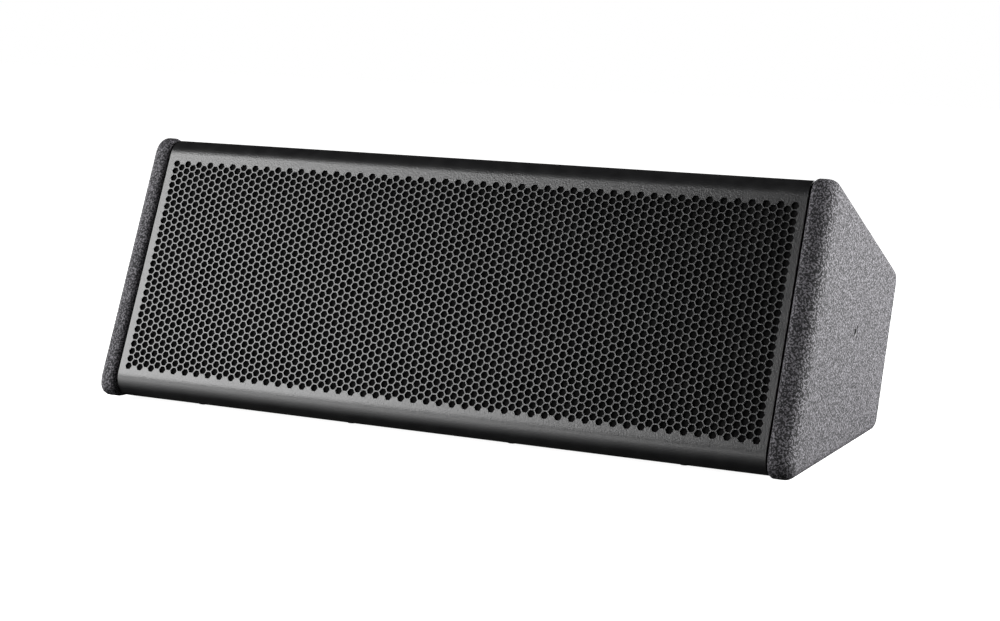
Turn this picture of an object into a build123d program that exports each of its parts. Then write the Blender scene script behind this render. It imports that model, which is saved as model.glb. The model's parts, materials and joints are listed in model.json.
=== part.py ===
from build123d import *
import os
from math import cos, floor, hypot, radians, sin, sqrt, tan

# Two-way stage monitor wedge: a plywood cabinet between two rounded side panels, a rolled
# perforated grille over the whole front, two woofers either side of a horn, and a crossover
# and an input plate at the back.
#
# It is modelled in the frame of its sloping front: X to the right, Y up along the grille and
# Z out of it, with the origin in the middle of the grille's front plane. At the end every
# piece is stood on the feet: +Z up, front towards -Y, origin under the middle of the box.
# All sizes are in millimetres and degrees.

# ---- cabinet ----
inner_width = 528.0      # between the side panels
side_thickness = 18.0
wall = 15.0              # top, base and rear skins and the baffle
top_height = 108.5       # side panel's top edge above the grille's middle
base_height = 112.2      # side panel's base line below it, at the grille's front plane
base_angle = 21.5        # base line against the square to the front
rear_depth = 231.6       # grille's front plane to the side panel's rear edge, at the middle
rear_tilt = 2.0          # rear edge against the front
side_proud = 2.5         # side panels stand out beyond the grille's front
side_overlap = 1.0       # side panels stand out beyond the top, base and rear skins
front_corner = 15.0      # side panel's corner radii, seen from the side
rear_corner = 12.0
front_round = 14.0       # bullnose along the side panel's front edge
edge_round = 8.0         # round along its other outer edges
inner_round = 3.5        # round along its inner front edge
brace_thickness = 12.0
brace_rim = 24.0         # timber left around a brace's window
brace_gap = 5.0          # brace to the woofer's hole in the baffle

# ---- grille ----
sheet = 1.5
roll_radius = 15.0       # outside radius of the rolled top and bottom
return_length = 17.0     # flat returns that lie in the rebates of the top and base skins
grille_gap = 1.4         # grille to each side panel
rebate_gap = 0.3         # return to the rebate's floor and end
skin_gap = 1.5           # roll to the front end of the top and base skins
hole_pitch = 25.2        # honeycomb pitch: columns stand sqrt(3)/2 of it apart
hole_flats = 21.0        # across the flats of a hexagonal hole
side_border = 5.7        # plain metal left at each side of the holes
roll_border = 2.0        # plain metal between the holes and the lower roll
grille_screw_count = 4   # along each return
foam_thickness = 6.0
foam_gap = 0.5           # foam to each side panel

# ---- baffle and ports ----
baffle_set = 20.0        # grille's front plane to the baffle's front
fit_gap = 0.8            # drivers, horn and ports in their rebates
driver_gap = 7.5         # horn flange to each woofer's flange
port_radius = 20.0
port_wall = 2.5
port_flange = 23.5
port_flange_thickness = 3.0
port_length = 80.0
port_top_gap = 5.5       # port flange to the top skin's inner face
port_gap = 2.0           # port's tube to the brace

# ---- woofer, radii and depths from the front of its flange ----
woofer_flange = 82.5
woofer_flange_thickness = 5.0
woofer_margin = 16.5     # flange to the side panel
woofer_hole = 72.0       # hole in the baffle
woofer_bolts = 77.5
woofer_bolt_count = 4
ledge_radius = 73.0      # step that holds the surround and the gasket
ledge_depth = 2.0
frame_opening = 65.0
frame_wall = 3.0         # at the spider shelf
frame_end_wall = 4.0     # at the flange and at the foot
shelf_outer = 52.0       # shelf that holds the spider
shelf_inner = 43.0
shelf_depth = 40.0
shelf_thickness = 2.0
foot_outer = 42.0        # foot ring that sits on the top plate
foot_inner = 20.0
foot_thickness = 2.0
plate_depth = 56.0
window_count = 6
window_angle = 42.0      # opening of each window in the frame's wall
window_margin = 6.0      # metal above and below a window
plate_radius = 44.0
plate_thickness = 6.0
plate_bore = 17.9
magnet_radius = 47.0
magnet_bore = 24.0
magnet_thickness = 15.0
pole_radius = 15.3
pole_vent = 6.0
coil_inner = 15.9
coil_former = 0.5
coil_winding = 0.7
winding_length = 12.0
former_top = 24.0        # depth of the former's front end
former_below = 1.0       # former beyond the winding
cone_rim = 57.5
cone_lip = 3.5           # flat rim under the surround
cone_wall = 1.2
cone_depth = 28.0        # depth of the cone's neck
neck_length = 4.0
dust_cap_radius = 24.0
dust_cap_rise = 7.0
dust_cap_wall = 0.8
glue_line = 0.1          # between pieces that are bonded
soft_gap = 0.3           # between a soft piece and a moving one
surround_wall = 0.8
gasket_proud = 0.6       # gasket above the flange
spider_wall = 0.5
spider_waves = 3
spider_height = 1.6
terminal_width = 24.0
terminal_length = 10.0
terminal_thickness = 1.6
tag_length = 7.0
tag_width = 6.0
tag_thickness = 0.8
tag_step = 12.0

# ---- horn and compression driver, depths from the front of the horn's flange ----
horn_flange_height = 72.0
horn_flange_thickness = 4.0
horn_rim = 7.0           # flange left around the mouth
horn_wall = 3.0
horn_corner = 10.0       # corners of the flange
mouth_corner = 8.0
horn_flare = 0.67        # share of the narrowing done half way down
horn_screw_inset = 5.0   # screws from the flange's edges
horn_depth = 58.0
throat_radius = 12.7
throat_flange = 36.0
throat_flange_thickness = 6.0
hf_plate_radius = 36.0
hf_plate_thickness = 5.0
hf_magnet_radius = 38.0
hf_magnet_bore = 26.0
hf_magnet_thickness = 12.0
hf_pole_radius = 20.6
hf_coil_inner = 21.2
hf_coil_wall = 0.5
hf_gap_bore = 22.6
hf_dome_rise = 7.0
hf_dome_wall = 0.4
hf_dome_gap = 1.2        # phase plug to the dome
hf_plug_bore = 6.0
hf_suspension_outer = 30.0
hf_cover_radius = 32.0
hf_cover_depth = 20.0
hf_cover_wall = 2.5
hf_cover_gap = 5.4       # rear cover to the base skin

# ---- crossover, input plate and small parts ----
board_width = 150.0
board_height = 80.0
board_thickness = 1.6
board_standoff = 6.0
board_gap = 2.0          # board to the brace
spacer_radius = 3.5
spacer_inset = 7.0
coil_outer = 17.0
coil_hole = 7.0
coil_height = 16.0
capacitor_radius = 9.0
capacitor_length = 34.0
resistor_side = 10.0
resistor_length = 46.0
coil_row = 16.0          # rows above or below the board's middle
resistor_row = 14.0
capacitor_row = 20.0
coil_step = 75.0         # steps along the rows
resistor_step = 14.0
capacitor_step = 37.5
input_width = 124.0
input_height = 80.0
input_thickness = 2.0
input_corner = 6.0
input_rim = 12.0         # plate beyond its cut-out in the rear skin
socket_spacing = 52.0
socket_width = 26.0
socket_height = 31.0
socket_flange = 2.5
socket_corner = 3.0
socket_radius = 12.0
socket_bore = 10.4
socket_core = 5.0
core_set = 2.0           # core's end behind the flange's front
socket_length = 26.0
socket_depth = 20.0
screw_inset = 6.0        # plate's screws from its edges
pad_thickness = 12.0
pad_margin = 14.0        # wadding to the skins around it
insert_radius = 5.8
insert_bore = 2.5        # tapping wall of an M6 thread
insert_length = 14.0
insert_height = 27.0     # bracket insert above the grille's middle
insert_depth = 115.5     # and behind the grille's front plane
foot_radius = 11.0
foot_recess = 2.0
foot_proud = 3.0         # feet below the side panels' base line
foot_side_gap = 34.0     # foot's centre to the side panel
foot_front = 40.0        # foot centres behind the grille's lower roll
foot_rear_gap = 40.0     # and in front of the rear skin
foot_screw_room = 1.0    # round and over the screw's head
screw_clearance = 0.2    # round a screw's shank
wood_screw = 2.0         # shank radius
wood_screw_head = 4.2
wood_screw_head_height = 1.8
wood_screw_length = 12.0
pilot_depth = 14.0       # of a screw hole that stays closed
machine_screw = 1.5
machine_screw_head = 2.8
machine_screw_head_height = 1.6
machine_screw_length = 8.0
screw_sides = 8          # a small screw's head and shank are prisms
past = 1.0               # how far a cutter runs past a face

base_slope = tan(radians(base_angle))
base_cos = cos(radians(base_angle))
rear_slope = tan(radians(rear_tilt))
rear_cos = cos(radians(rear_tilt))
half_width = inner_width / 2


# ---- the cabinet's outline, seen from the side as (y, z) ----
def top_y(inset):
    return top_height - inset


def base_y(inset, z):
    return -base_height + inset / base_cos - z * base_slope


def rear_z(inset, y):
    return -rear_depth + inset / rear_cos + y * rear_slope


def rear_top(top_inset, rear_inset):
    y = top_y(top_inset)
    return (y, rear_z(rear_inset, y))


def rear_base(base_inset, rear_inset):
    y = base_y(base_inset, rear_z(rear_inset, 0)) / (1 + base_slope * rear_slope)
    return (y, rear_z(rear_inset, y))


def across(points, width, centre=0.0):
    """A prism of the side-view outline, width wide in X and centred on centre."""
    face = make_face(Polyline(*points, close=True))
    return Pos(centre, 0, 0) * extrude(Plane.YZ * face, amount=width / 2, both=True)


def turned(*points):
    """A solid of revolution about Z from its (radius, z) outline."""
    return revolve(Plane.XZ * make_face(Polyline(*points, close=True)), Axis.Z)


def turned_face(*edges):
    """The same from an outline with curved edges."""
    return revolve(Plane.XZ * make_face([*edges]), Axis.Z)


def ring(outer, inner, low, high):
    return turned((outer, low), (outer, high), (inner, high), (inner, low))


def disc(radius, low, high):
    return Pos(0, 0, low) * extrude(Circle(radius), amount=high - low)


def prism(radius, low, high):
    return Pos(0, 0, low) * extrude(RegularPolygon(radius, screw_sides), amount=high - low)


def plate(width, height, low, high, corner=0.0):
    outline = RectangleRounded(width, height, corner) if corner else Rectangle(width, height)
    return Pos(0, 0, low) * extrude(outline, amount=high - low)


def wood_screw_solid():
    head = prism(wood_screw_head, 0, wood_screw_head_height)
    return head + prism(wood_screw, -wood_screw_length, 0)


def machine_screw_solid(length=machine_screw_length):
    head = prism(machine_screw_head, 0, machine_screw_head_height)
    return head + prism(machine_screw, -length, 0)


def wood_screw_hole(low):
    return disc(wood_screw + screw_clearance, low, past)


def machine_screw_hole(low):
    return disc(machine_screw + screw_clearance, low, past)


def group(frames, solid):
    """The same solid set at each frame, as one node of separate solids."""
    return Compound(children=[copy_at(frame, solid) for frame in frames])


def copy_at(frame, solid):
    return frame.location * solid if isinstance(frame, Plane) else frame * solid


# ---- frames on the cabinet's faces ----
def front_frame(x, y, z=-baffle_set):
    return Plane(origin=(x, y, z), x_dir=(1, 0, 0), z_dir=(0, 0, 1))


def top_frame(x, back):
    """On the top skin, back behind the roll; its Z points up out of the skin."""
    origin = (x, top_y(side_overlap), -roll_radius - back)
    return Plane(origin=origin, x_dir=(1, 0, 0), z_dir=(0, 1, 0))


lower_corner = base_y(side_overlap, 0)
roll_reach = roll_radius / tan(radians(90 - base_angle) / 2)
lower_roll_y = lower_corner + roll_reach


def base_point(back, depth):
    """(y, z) on the base skin: back behind the lower roll and depth inside its outer face."""
    run = roll_reach + back
    y = lower_corner + run * sin(radians(base_angle)) + depth * base_cos
    z = -run * base_cos + depth * sin(radians(base_angle))
    return (y, z)


def base_frame(x, back, depth=0.0):
    """On the base skin; its Z points down out of the skin."""
    down = (0, -base_cos, -sin(radians(base_angle)))
    return Plane(origin=(x, *base_point(back, depth)), x_dir=(1, 0, 0), z_dir=down)


def rear_frame(x, y, inset=side_overlap):
    """On the rear skin's outer face; its Z points backwards out of the skin."""
    back = (0, sin(radians(rear_tilt)), -rear_cos)
    return Plane(origin=(x, y, rear_z(inset, y)), x_dir=(-1, 0, 0), z_dir=back)


def rear_inner_frame(x, y):
    """On the rear skin's inner face; its Z points forwards into the cabinet."""
    ahead = (0, -sin(radians(rear_tilt)), rear_cos)
    origin = (x, y, rear_z(side_overlap + wall, y))
    return Plane(origin=origin, x_dir=(1, 0, 0), z_dir=ahead)


# ---- depths of the compression driver behind the horn's flange ----
hf_front = horn_depth + throat_flange_thickness
hf_magnet_front = hf_front + hf_plate_thickness
hf_magnet_back = hf_magnet_front + hf_magnet_thickness
hf_gap_back = hf_magnet_back + hf_plate_thickness


# ---- places on the front ----
inner_top = top_y(side_overlap + wall)
woofer_x = half_width - woofer_margin - woofer_flange
woofer_y = (inner_top + base_y(side_overlap + wall, -baffle_set)) / 2
brace_x = woofer_x - woofer_hole - brace_gap - brace_thickness / 2
horn_flange_width = 2 * (woofer_x - woofer_flange - driver_gap)
hf_cover_back = -baffle_set - hf_gap_back - hf_cover_depth
horn_y = base_y(side_overlap + wall, hf_cover_back) + hf_cover_gap + hf_cover_radius
port_x = brace_x - brace_thickness / 2 - port_gap - port_radius - port_wall
port_y = inner_top - port_top_gap - port_flange
side_signs = {"left": -1, "right": 1}


# ---- cabinet ----
def side_panel(sign):
    front = side_proud
    corners = [(top_y(0), front), rear_top(0, 0), rear_base(0, 0), (base_y(0, front), front)]
    radii = [front_corner, rear_corner, rear_corner, front_corner]
    outline = make_face(FilletPolyline(*corners, radius=radii, close=True))
    panel = Pos(half_width, 0, 0) * extrude(Plane.YZ * outline, amount=side_thickness)
    outer_face = panel.faces().sort_by(Axis.X)[-1]
    panel = fillet(outer_face.outer_wire().edges(), edge_round)
    # The front edge is rounder than the others: a second prism trims it.
    reach = rear_depth + wall
    section = Pos(half_width + side_thickness / 2, front - reach / 2)
    section *= Rectangle(side_thickness, reach)
    front_points = section.vertices().group_by(Axis.Y)[-1].sort_by(Axis.X)
    section = fillet(front_points[-1], front_round)
    section = fillet(section.vertices().group_by(Axis.Y)[-1].sort_by(Axis.X)[0], inner_round)
    span = top_height + base_height + reach
    panel &= extrude(Plane.XZ * section, amount=span, both=True)
    panel -= insert_frame.location * disc(insert_radius + glue_line, -insert_length, past)
    return panel if sign > 0 else mirror(panel, about=Plane.YZ)


insert_frame = Plane(
    origin=(half_width + side_thickness, insert_height, -insert_depth),
    x_dir=(0, 1, 0),
    z_dir=(1, 0, 0),
)


def threaded_insert(sign):
    insert = insert_frame.location * ring(insert_radius, insert_bore, -insert_length, 0)
    return insert if sign > 0 else mirror(insert, about=Plane.YZ)


def skin(front_end, rebate_floor, rebate_end, rear_outer, rear_inner, front_inner):
    """A top or base skin from its side-view corners, with its rear outer edge rounded."""
    corners = [front_end, rebate_floor, rebate_end, rear_outer, rear_inner, front_inner]
    panel = across(corners, inner_width)
    edge = panel.edges().filter_by(Axis.X).sort_by_distance((0, *rear_outer))[0]
    return fillet(edge, rear_corner - side_overlap)


rebate_depth = sheet + rebate_gap
rebate_run = return_length + rebate_gap


def top_skin():
    outer = top_y(side_overlap)
    start = -roll_radius - skin_gap
    step = -roll_radius - rebate_run
    panel = skin(
        (outer - rebate_depth, start),
        (outer - rebate_depth, step),
        (outer, step),
        rear_top(side_overlap, side_overlap),
        rear_top(side_overlap + wall, side_overlap),
        (inner_top, start),
    )
    return panel - group(top_screw_frames(), wood_screw_hole(-wall))


def base_skin():
    panel = skin(
        base_point(skin_gap, rebate_depth),
        base_point(rebate_run, rebate_depth),
        base_point(rebate_run, 0),
        rear_base(side_overlap, side_overlap),
        rear_base(side_overlap + wall, side_overlap),
        base_point(skin_gap, wall),
    )
    panel -= group(base_screw_frames(), wood_screw_hole(-wall))
    seat = disc(foot_radius + screw_clearance, -foot_recess, past)
    return panel - group(foot_frames(), seat + wood_screw_hole(-pilot_depth))


def rear_skin():
    """Between the top and base skins, with the input plate's cut-out and rebate."""
    inset = side_overlap + wall
    corners = [
        rear_top(inset, side_overlap),
        rear_top(inset, inset),
        rear_base(inset, inset),
        rear_base(inset, side_overlap),
    ]
    panel = across(corners, inner_width)
    opening = plate(input_width - 2 * input_rim, input_height - 2 * input_rim, -2 * wall, past)
    rebate = plate(
        input_width + fit_gap,
        input_height + fit_gap,
        -input_thickness,
        past,
        input_corner + fit_gap / 2,
    )
    panel -= input_frame.location * (opening + rebate)
    return panel - group(input_screw_frames(), wood_screw_hole(-pilot_depth))


def baffle():
    front, back = -baffle_set, -baffle_set - wall
    inset = side_overlap + wall
    corners = [
        (inner_top, front),
        (inner_top, back),
        (base_y(inset, back), back),
        (base_y(inset, front), front),
    ]
    panel = across(corners, inner_width)
    woofer_cut = disc(woofer_hole, -2 * wall, past)
    woofer_cut += disc(woofer_flange + fit_gap, -woofer_flange_thickness, past)
    woofer_cut += group(woofer_bolt_places(), wood_screw_hole(-2 * wall))
    panel -= group([woofer_frame_at(sign) for sign in (-1, 1)], woofer_cut)
    horn_cut = plate(horn_body_width, horn_body_height, -2 * wall, past, horn_corner)
    horn_cut += plate(
        horn_flange_width + fit_gap,
        horn_flange_height + fit_gap,
        -horn_flange_thickness,
        past,
        horn_corner,
    )
    panel -= front_frame(0, horn_y).location * horn_cut
    panel -= group(horn_screw_frames(), wood_screw_hole(-pilot_depth))
    port_cut = disc(port_radius + port_wall + glue_line, -2 * wall, past)
    port_cut += disc(port_flange + fit_gap, -port_flange_thickness, past)
    return panel - group([front_frame(sign * port_x, port_y) for sign in (-1, 1)], port_cut)


def brace(sign):
    """A window frame from the baffle to the rear skin."""
    front, inset = -baffle_set - wall, side_overlap + wall
    corners = [
        (inner_top, front),
        rear_top(inset, inset),
        rear_base(inset, inset),
        (base_y(inset, front), front),
    ]
    rim = inset + brace_rim
    window = [
        (top_y(rim), front - brace_rim),
        rear_top(rim, rim),
        rear_base(rim, rim),
        (base_y(rim, front - brace_rim), front - brace_rim),
    ]
    hole = make_face(FilletPolyline(*window, radius=brace_rim / 2, close=True))
    hole = extrude(Plane.YZ * hole, amount=brace_thickness, both=True)
    centre = sign * brace_x
    return across(corners, brace_thickness, centre) - Pos(centre, 0, 0) * hole


# ---- grille ----
def grille_path(depth):
    """The grille's bent section at a depth inside its outer face."""
    inset = side_overlap + depth
    start = (top_y(inset), -roll_radius - return_length)
    end = base_point(return_length, depth)
    corners = [start, (top_y(inset), -depth), (base_y(inset, -depth), -depth), end]
    return FilletPolyline(*corners, radius=roll_radius - depth), start, end


def honeycomb(width, half_height):
    """Middles of the hexagonal holes, column by column."""
    corner = hole_flats / sqrt(3)
    step = hole_pitch * sqrt(3) / 2
    side_columns = floor((width / 2 - corner) / step)
    rows = floor((2 * half_height - hole_flats) / hole_pitch)
    middles = []
    for column in range(-side_columns, side_columns + 1):
        short = (column + side_columns) % 2
        for row in range(rows + 1 - short):
            middles.append((column * step, (row - (rows - short) / 2) * hole_pitch))
    return middles


def grille():
    outer, outer_start, outer_end = grille_path(0)
    inner, inner_start, inner_end = grille_path(sheet)
    section = make_face(
        [*outer.edges(), *inner.edges(), Line(outer_start, inner_start), Line(outer_end, inner_end)]
    )
    width = inner_width - 2 * grille_gap
    shell = extrude(Plane.YZ * section, amount=width / 2, both=True)
    field = honeycomb(width - 2 * side_border, -lower_roll_y - roll_border)
    hole = extrude(RegularPolygon(hole_flats / sqrt(3), 6), amount=sheet + 2 * past)
    shell -= [Pos(x, y, -sheet - past) * hole for x, y in field]
    return shell - group(top_screw_frames() + base_screw_frames(), wood_screw_hole(-2 * sheet))


def grille_foam():
    low, high = lower_roll_y, inner_top
    width = inner_width - 2 * foam_gap
    return Pos(0, (low + high) / 2, 0) * plate(width, high - low, -sheet - foam_thickness, -sheet)


def top_screw_frames():
    return [top_frame(x, return_length / 2) for x in spread(grille_screw_count)]


def base_screw_frames():
    return [base_frame(x, return_length / 2) for x in spread(grille_screw_count)]


def spread(count):
    """Even places across the cabinet."""
    return [((i + 0.5) / count - 0.5) * inner_width for i in range(count)]


# ---- woofers ----
def woofer_frame_at(sign):
    return front_frame(sign * woofer_x, woofer_y)


def woofer_bolt_places():
    half_step = 180 / woofer_bolt_count
    return PolarLocations(woofer_bolts, woofer_bolt_count, start_angle=half_step).locations


def basket():
    rim_back = -woofer_flange_thickness
    wall_top = woofer_hole - fit_gap
    frame = turned(
        (woofer_flange, 0),
        (woofer_flange, rim_back),
        (wall_top, rim_back),
        (shelf_outer, -shelf_depth - shelf_thickness),
        (foot_outer, -plate_depth),
        (foot_inner, -plate_depth),
        (foot_inner, -plate_depth + foot_thickness),
        (foot_outer - frame_end_wall, -plate_depth + foot_thickness),
        (shelf_inner, -shelf_depth - shelf_thickness),
        (shelf_inner, -shelf_depth),
        (shelf_outer - frame_wall, -shelf_depth),
        (wall_top - frame_end_wall, rim_back),
        (frame_opening, -ledge_depth),
        (ledge_radius, -ledge_depth),
        (ledge_radius, 0),
    )
    high, low = rim_back - window_margin, -shelf_depth + window_margin
    outside = wall_top + past
    cut = [(shelf_inner, low), (outside, low), (outside, high), (shelf_inner, high)]
    cut = make_face(Polyline(*cut, close=True))
    window = revolve(Plane.XZ * cut, Axis.Z, revolution_arc=window_angle)
    step = 360 / window_count
    frame -= [Rot(0, 0, (i + 0.5) * step - window_angle / 2) * window for i in range(window_count)]
    frame += terminal_shelf()
    return frame - group(woofer_bolt_places(), wood_screw_hole(rim_back - past))


def terminal_shelf():
    """A tab on the spider shelf's outside, over a spoke, that carries the terminals."""
    inner = shelf_outer - frame_wall
    length = terminal_length + frame_wall
    tab = Box(terminal_width, length, shelf_thickness, align=(Align.CENTER, Align.MIN, Align.MAX))
    return Pos(0, inner, -shelf_depth) * tab


def terminals():
    """Insulating strip with two tags, on the rear of its tab."""
    low = -shelf_depth - shelf_thickness
    middle = shelf_outer + terminal_length / 2
    tag_top = low - terminal_thickness
    strip = plate(terminal_width, terminal_length, tag_top, low)
    tag = plate(tag_width, tag_thickness, tag_top - tag_length, tag_top)
    tags = [Pos(side * tag_step / 2, 0, 0) * tag for side in (-1, 1)]
    return Pos(0, middle, 0) * (strip + tags)


def top_plate():
    return ring(plate_radius, plate_bore, -plate_depth - plate_thickness, -plate_depth)


magnet_front = plate_depth + plate_thickness
magnet_back = magnet_front + magnet_thickness


def magnet():
    return ring(magnet_radius, magnet_bore, -magnet_back, -magnet_front)


def yoke():
    """Back plate and vented pole piece in one turning."""
    back = -magnet_back - plate_thickness
    return turned(
        (pole_vent, back),
        (plate_radius, back),
        (plate_radius, -magnet_back),
        (pole_radius, -magnet_back),
        (pole_radius, -plate_depth),
        (pole_vent, -plate_depth),
    )


coil_outer_radius = coil_inner + coil_former
gap_middle = plate_depth + plate_thickness / 2


def voice_coil():
    top, bottom = gap_middle - winding_length / 2, gap_middle + winding_length / 2
    wound = coil_outer_radius + coil_winding
    return turned(
        (coil_inner, -former_top),
        (coil_outer_radius, -former_top),
        (coil_outer_radius, -top),
        (wound, -top),
        (wound, -bottom),
        (coil_outer_radius, -bottom),
        (coil_outer_radius, -bottom - former_below),
        (coil_inner, -bottom - former_below),
    )


neck_radius = coil_outer_radius + glue_line
cone_mouth = cone_rim - cone_lip


def cone_front(radius):
    """Depth of the cone's front face at a radius."""
    share = (cone_mouth - radius) / (cone_mouth - neck_radius)
    return ledge_depth + share * (cone_depth - ledge_depth)


def cone():
    run, rise = cone_mouth - neck_radius, cone_depth - ledge_depth
    back = cone_wall * hypot(run, rise) / run
    return turned(
        (neck_radius, -cone_depth - neck_length),
        (neck_radius, -cone_depth),
        (cone_mouth, -ledge_depth),
        (cone_rim, -ledge_depth),
        (cone_rim, -ledge_depth - cone_wall),
        (cone_mouth, -ledge_depth - back),
        (neck_radius + cone_wall, -cone_depth - back),
        (neck_radius + cone_wall, -cone_depth - neck_length),
    )


def dust_cap():
    seat, inner = dust_cap_radius, dust_cap_radius - dust_cap_wall
    low, inner_low = glue_line - cone_front(seat), glue_line - cone_front(inner)
    top = low + dust_cap_rise
    outside = dome_arc(seat, low, top)
    inside = dome_arc(inner, inner_low, top - dust_cap_wall)
    crown = Line((0, top), (0, top - dust_cap_wall))
    return turned_face(outside, crown, inside, Line((inner, inner_low), (seat, low)))


def dome_arc(radius, low, top):
    """Quarter view of a spherical cap from its rim to its crown."""
    rise = top - low
    sphere = (radius**2 + rise**2) / (2 * abs(rise))
    middle = top - sphere if rise > 0 else top + sphere
    x = radius / 2
    y = middle + (1 if rise > 0 else -1) * sqrt(sphere**2 - x**2)
    return ThreePointArc((radius, low), (x, y), (0, top))


def surround():
    """Half roll between the cone's rim and the frame's ledge."""
    inner_edge, outer_edge = cone_mouth, ledge_radius - glue_line
    outer_roll = (frame_opening - cone_rim) / 2 - glue_line
    inner_roll = outer_roll - surround_wall
    low = -ledge_depth + soft_gap
    high = low + surround_wall
    middle = (cone_rim + frame_opening) / 2
    crest_start, crest_end = (middle - outer_roll, high), (middle + outer_roll, high)
    under_start, under_end = (middle + inner_roll, low), (middle - inner_roll, low)
    return turned_face(
        Line((inner_edge, low), (inner_edge, high)),
        Line((inner_edge, high), crest_start),
        ThreePointArc(crest_start, (middle, high + outer_roll), crest_end),
        Line(crest_end, (outer_edge, high)),
        Line((outer_edge, high), (outer_edge, -ledge_depth)),
        Line((outer_edge, -ledge_depth), (frame_opening, -ledge_depth)),
        Line((frame_opening, -ledge_depth), under_start),
        ThreePointArc(under_start, (middle, low + inner_roll), under_end),
        Line(under_end, (inner_edge, low)),
    )


def gasket():
    low = -ledge_depth + soft_gap + surround_wall
    return ring(ledge_radius - glue_line, frame_opening, low, gasket_proud)


def spider():
    """Corrugated suspension from the former to the frame's shelf."""
    inner, outer = coil_outer_radius + soft_gap, shelf_outer - frame_wall - glue_line
    lip = outer - shelf_inner
    low = -shelf_depth
    run = (shelf_inner - inner) / (2 * spider_waves)
    lower = [(inner + i * run, low + (i % 2) * spider_height) for i in range(2 * spider_waves + 1)]
    lower.append((shelf_inner + lip, low))
    upper = [(r, z + spider_wall) for r, z in reversed(lower)]
    return turned(*lower, *upper)


# ---- horn and compression driver ----
horn_mouth_width = horn_flange_width - 2 * horn_rim
horn_mouth_height = horn_flange_height - 2 * horn_rim
horn_body_width = horn_mouth_width + 2 * horn_wall + fit_gap
horn_body_height = horn_mouth_height + 2 * horn_wall + fit_gap


def horn_sections(grow):
    """Mouth, middle and throat of the flare, grown outwards for its outside."""
    mouth = grown_rectangle(horn_mouth_width, horn_mouth_height, mouth_corner, grow)
    middle_width = horn_mouth_width + horn_flare * (2 * throat_radius - horn_mouth_width)
    middle_height = horn_mouth_height + horn_flare * (2 * throat_radius - horn_mouth_height)
    middle_corner = mouth_corner + horn_flare * (throat_radius - mouth_corner)
    middle = grown_rectangle(middle_width, middle_height, middle_corner, grow)
    throat = Circle(throat_radius + grow)
    return mouth, middle, throat


def grown_rectangle(width, height, corner, grow):
    return RectangleRounded(width + 2 * grow, height + 2 * grow, corner + grow)


def horn():
    levels = [-horn_flange_thickness, -horn_depth / 2, -horn_depth]
    outside = loft([Pos(0, 0, z) * s for z, s in zip(levels, horn_sections(horn_wall))])
    levels[0] = 0
    inside = loft([Pos(0, 0, z) * s for z, s in zip(levels, horn_sections(0))])
    flange = plate(horn_flange_width, horn_flange_height, -horn_flange_thickness, 0, horn_corner)
    body = flange + outside
    body += disc(throat_flange, -hf_front, -horn_depth)
    body -= inside
    body -= disc(throat_radius, -hf_front - past, -horn_depth + past)
    return body - group(horn_screw_places(), wood_screw_hole(-wall))


def horn_screw_places():
    x, y = horn_flange_width / 2 - horn_screw_inset, horn_flange_height / 2 - horn_screw_inset
    return [Pos(side * x, level * y, 0) for side in (-1, 1) for level in (-1, 1)]


def horn_screw_frames():
    return [front_frame(0, horn_y).location * place for place in horn_screw_places()]


def hf_pole_piece():
    """Front plate and pole with the phase plug's bore, widening towards the throat."""
    plug_top = -hf_gap_back - hf_dome_rise + hf_dome_gap
    edge = (hf_plug_bore, plug_edge(plug_top))
    return turned_face(
        Line((throat_radius, -hf_front), (hf_plate_radius, -hf_front)),
        Line((hf_plate_radius, -hf_front), (hf_plate_radius, -hf_magnet_front)),
        Line((hf_plate_radius, -hf_magnet_front), (hf_pole_radius, -hf_magnet_front)),
        Line((hf_pole_radius, -hf_magnet_front), (hf_pole_radius, -hf_gap_back)),
        Line((hf_pole_radius, -hf_gap_back), edge),
        Line(edge, (throat_radius, -hf_front)),
    )


def plug_edge(plug_top):
    """Level of the plug's cone where its bore breaks through."""
    share = 1 - hf_plug_bore / hf_pole_radius
    return -hf_gap_back + share * (plug_top + hf_gap_back)


def hf_magnet():
    return ring(hf_magnet_radius, hf_magnet_bore, -hf_magnet_back, -hf_magnet_front)


def hf_gap_plate():
    return ring(hf_plate_radius, hf_gap_bore, -hf_gap_back, -hf_magnet_back)


def hf_diaphragm():
    """Dome with its voice coil, open towards the phase plug."""
    outer = hf_coil_inner + hf_coil_wall
    base = -hf_gap_back - hf_dome_gap
    crown = base - hf_dome_rise
    coil_end = -hf_magnet_back - hf_plate_thickness / 3
    return turned_face(
        Line((hf_coil_inner, coil_end), (outer, coil_end)),
        Line((outer, coil_end), (outer, base)),
        dome_arc(outer, base, crown - hf_dome_wall),
        Line((0, crown - hf_dome_wall), (0, crown)),
        dome_arc(hf_coil_inner, base, crown),
        Line((hf_coil_inner, base), (hf_coil_inner, coil_end)),
    )


def hf_suspension():
    """Flat ring between the dome and the gap plate."""
    inner = hf_coil_inner + hf_coil_wall + soft_gap
    return ring(hf_suspension_outer, inner, -hf_gap_back - hf_dome_wall, -hf_gap_back)


def hf_cover():
    front, back = -hf_gap_back, -hf_gap_back - hf_cover_depth
    cup = disc(hf_cover_radius, back, front)
    cup -= disc(hf_cover_radius - hf_cover_wall, back + hf_cover_wall, front + past)
    return cup - disc(hf_suspension_outer + soft_gap, front - 2 * hf_dome_wall, front + past)


# ---- ports ----
def port():
    tube = ring(port_radius + port_wall, port_radius, -port_length, -port_flange_thickness)
    return tube + ring(port_flange, port_radius, -port_flange_thickness, 0)


# ---- crossover ----
board_x = -brace_x - brace_thickness / 2 - board_gap - board_width / 2
board_top = board_standoff + board_thickness
rear_middle = (inner_top + rear_base(side_overlap + wall, side_overlap)[0]) / 2


def board_frame():
    return rear_inner_frame(board_x, rear_middle)


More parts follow.
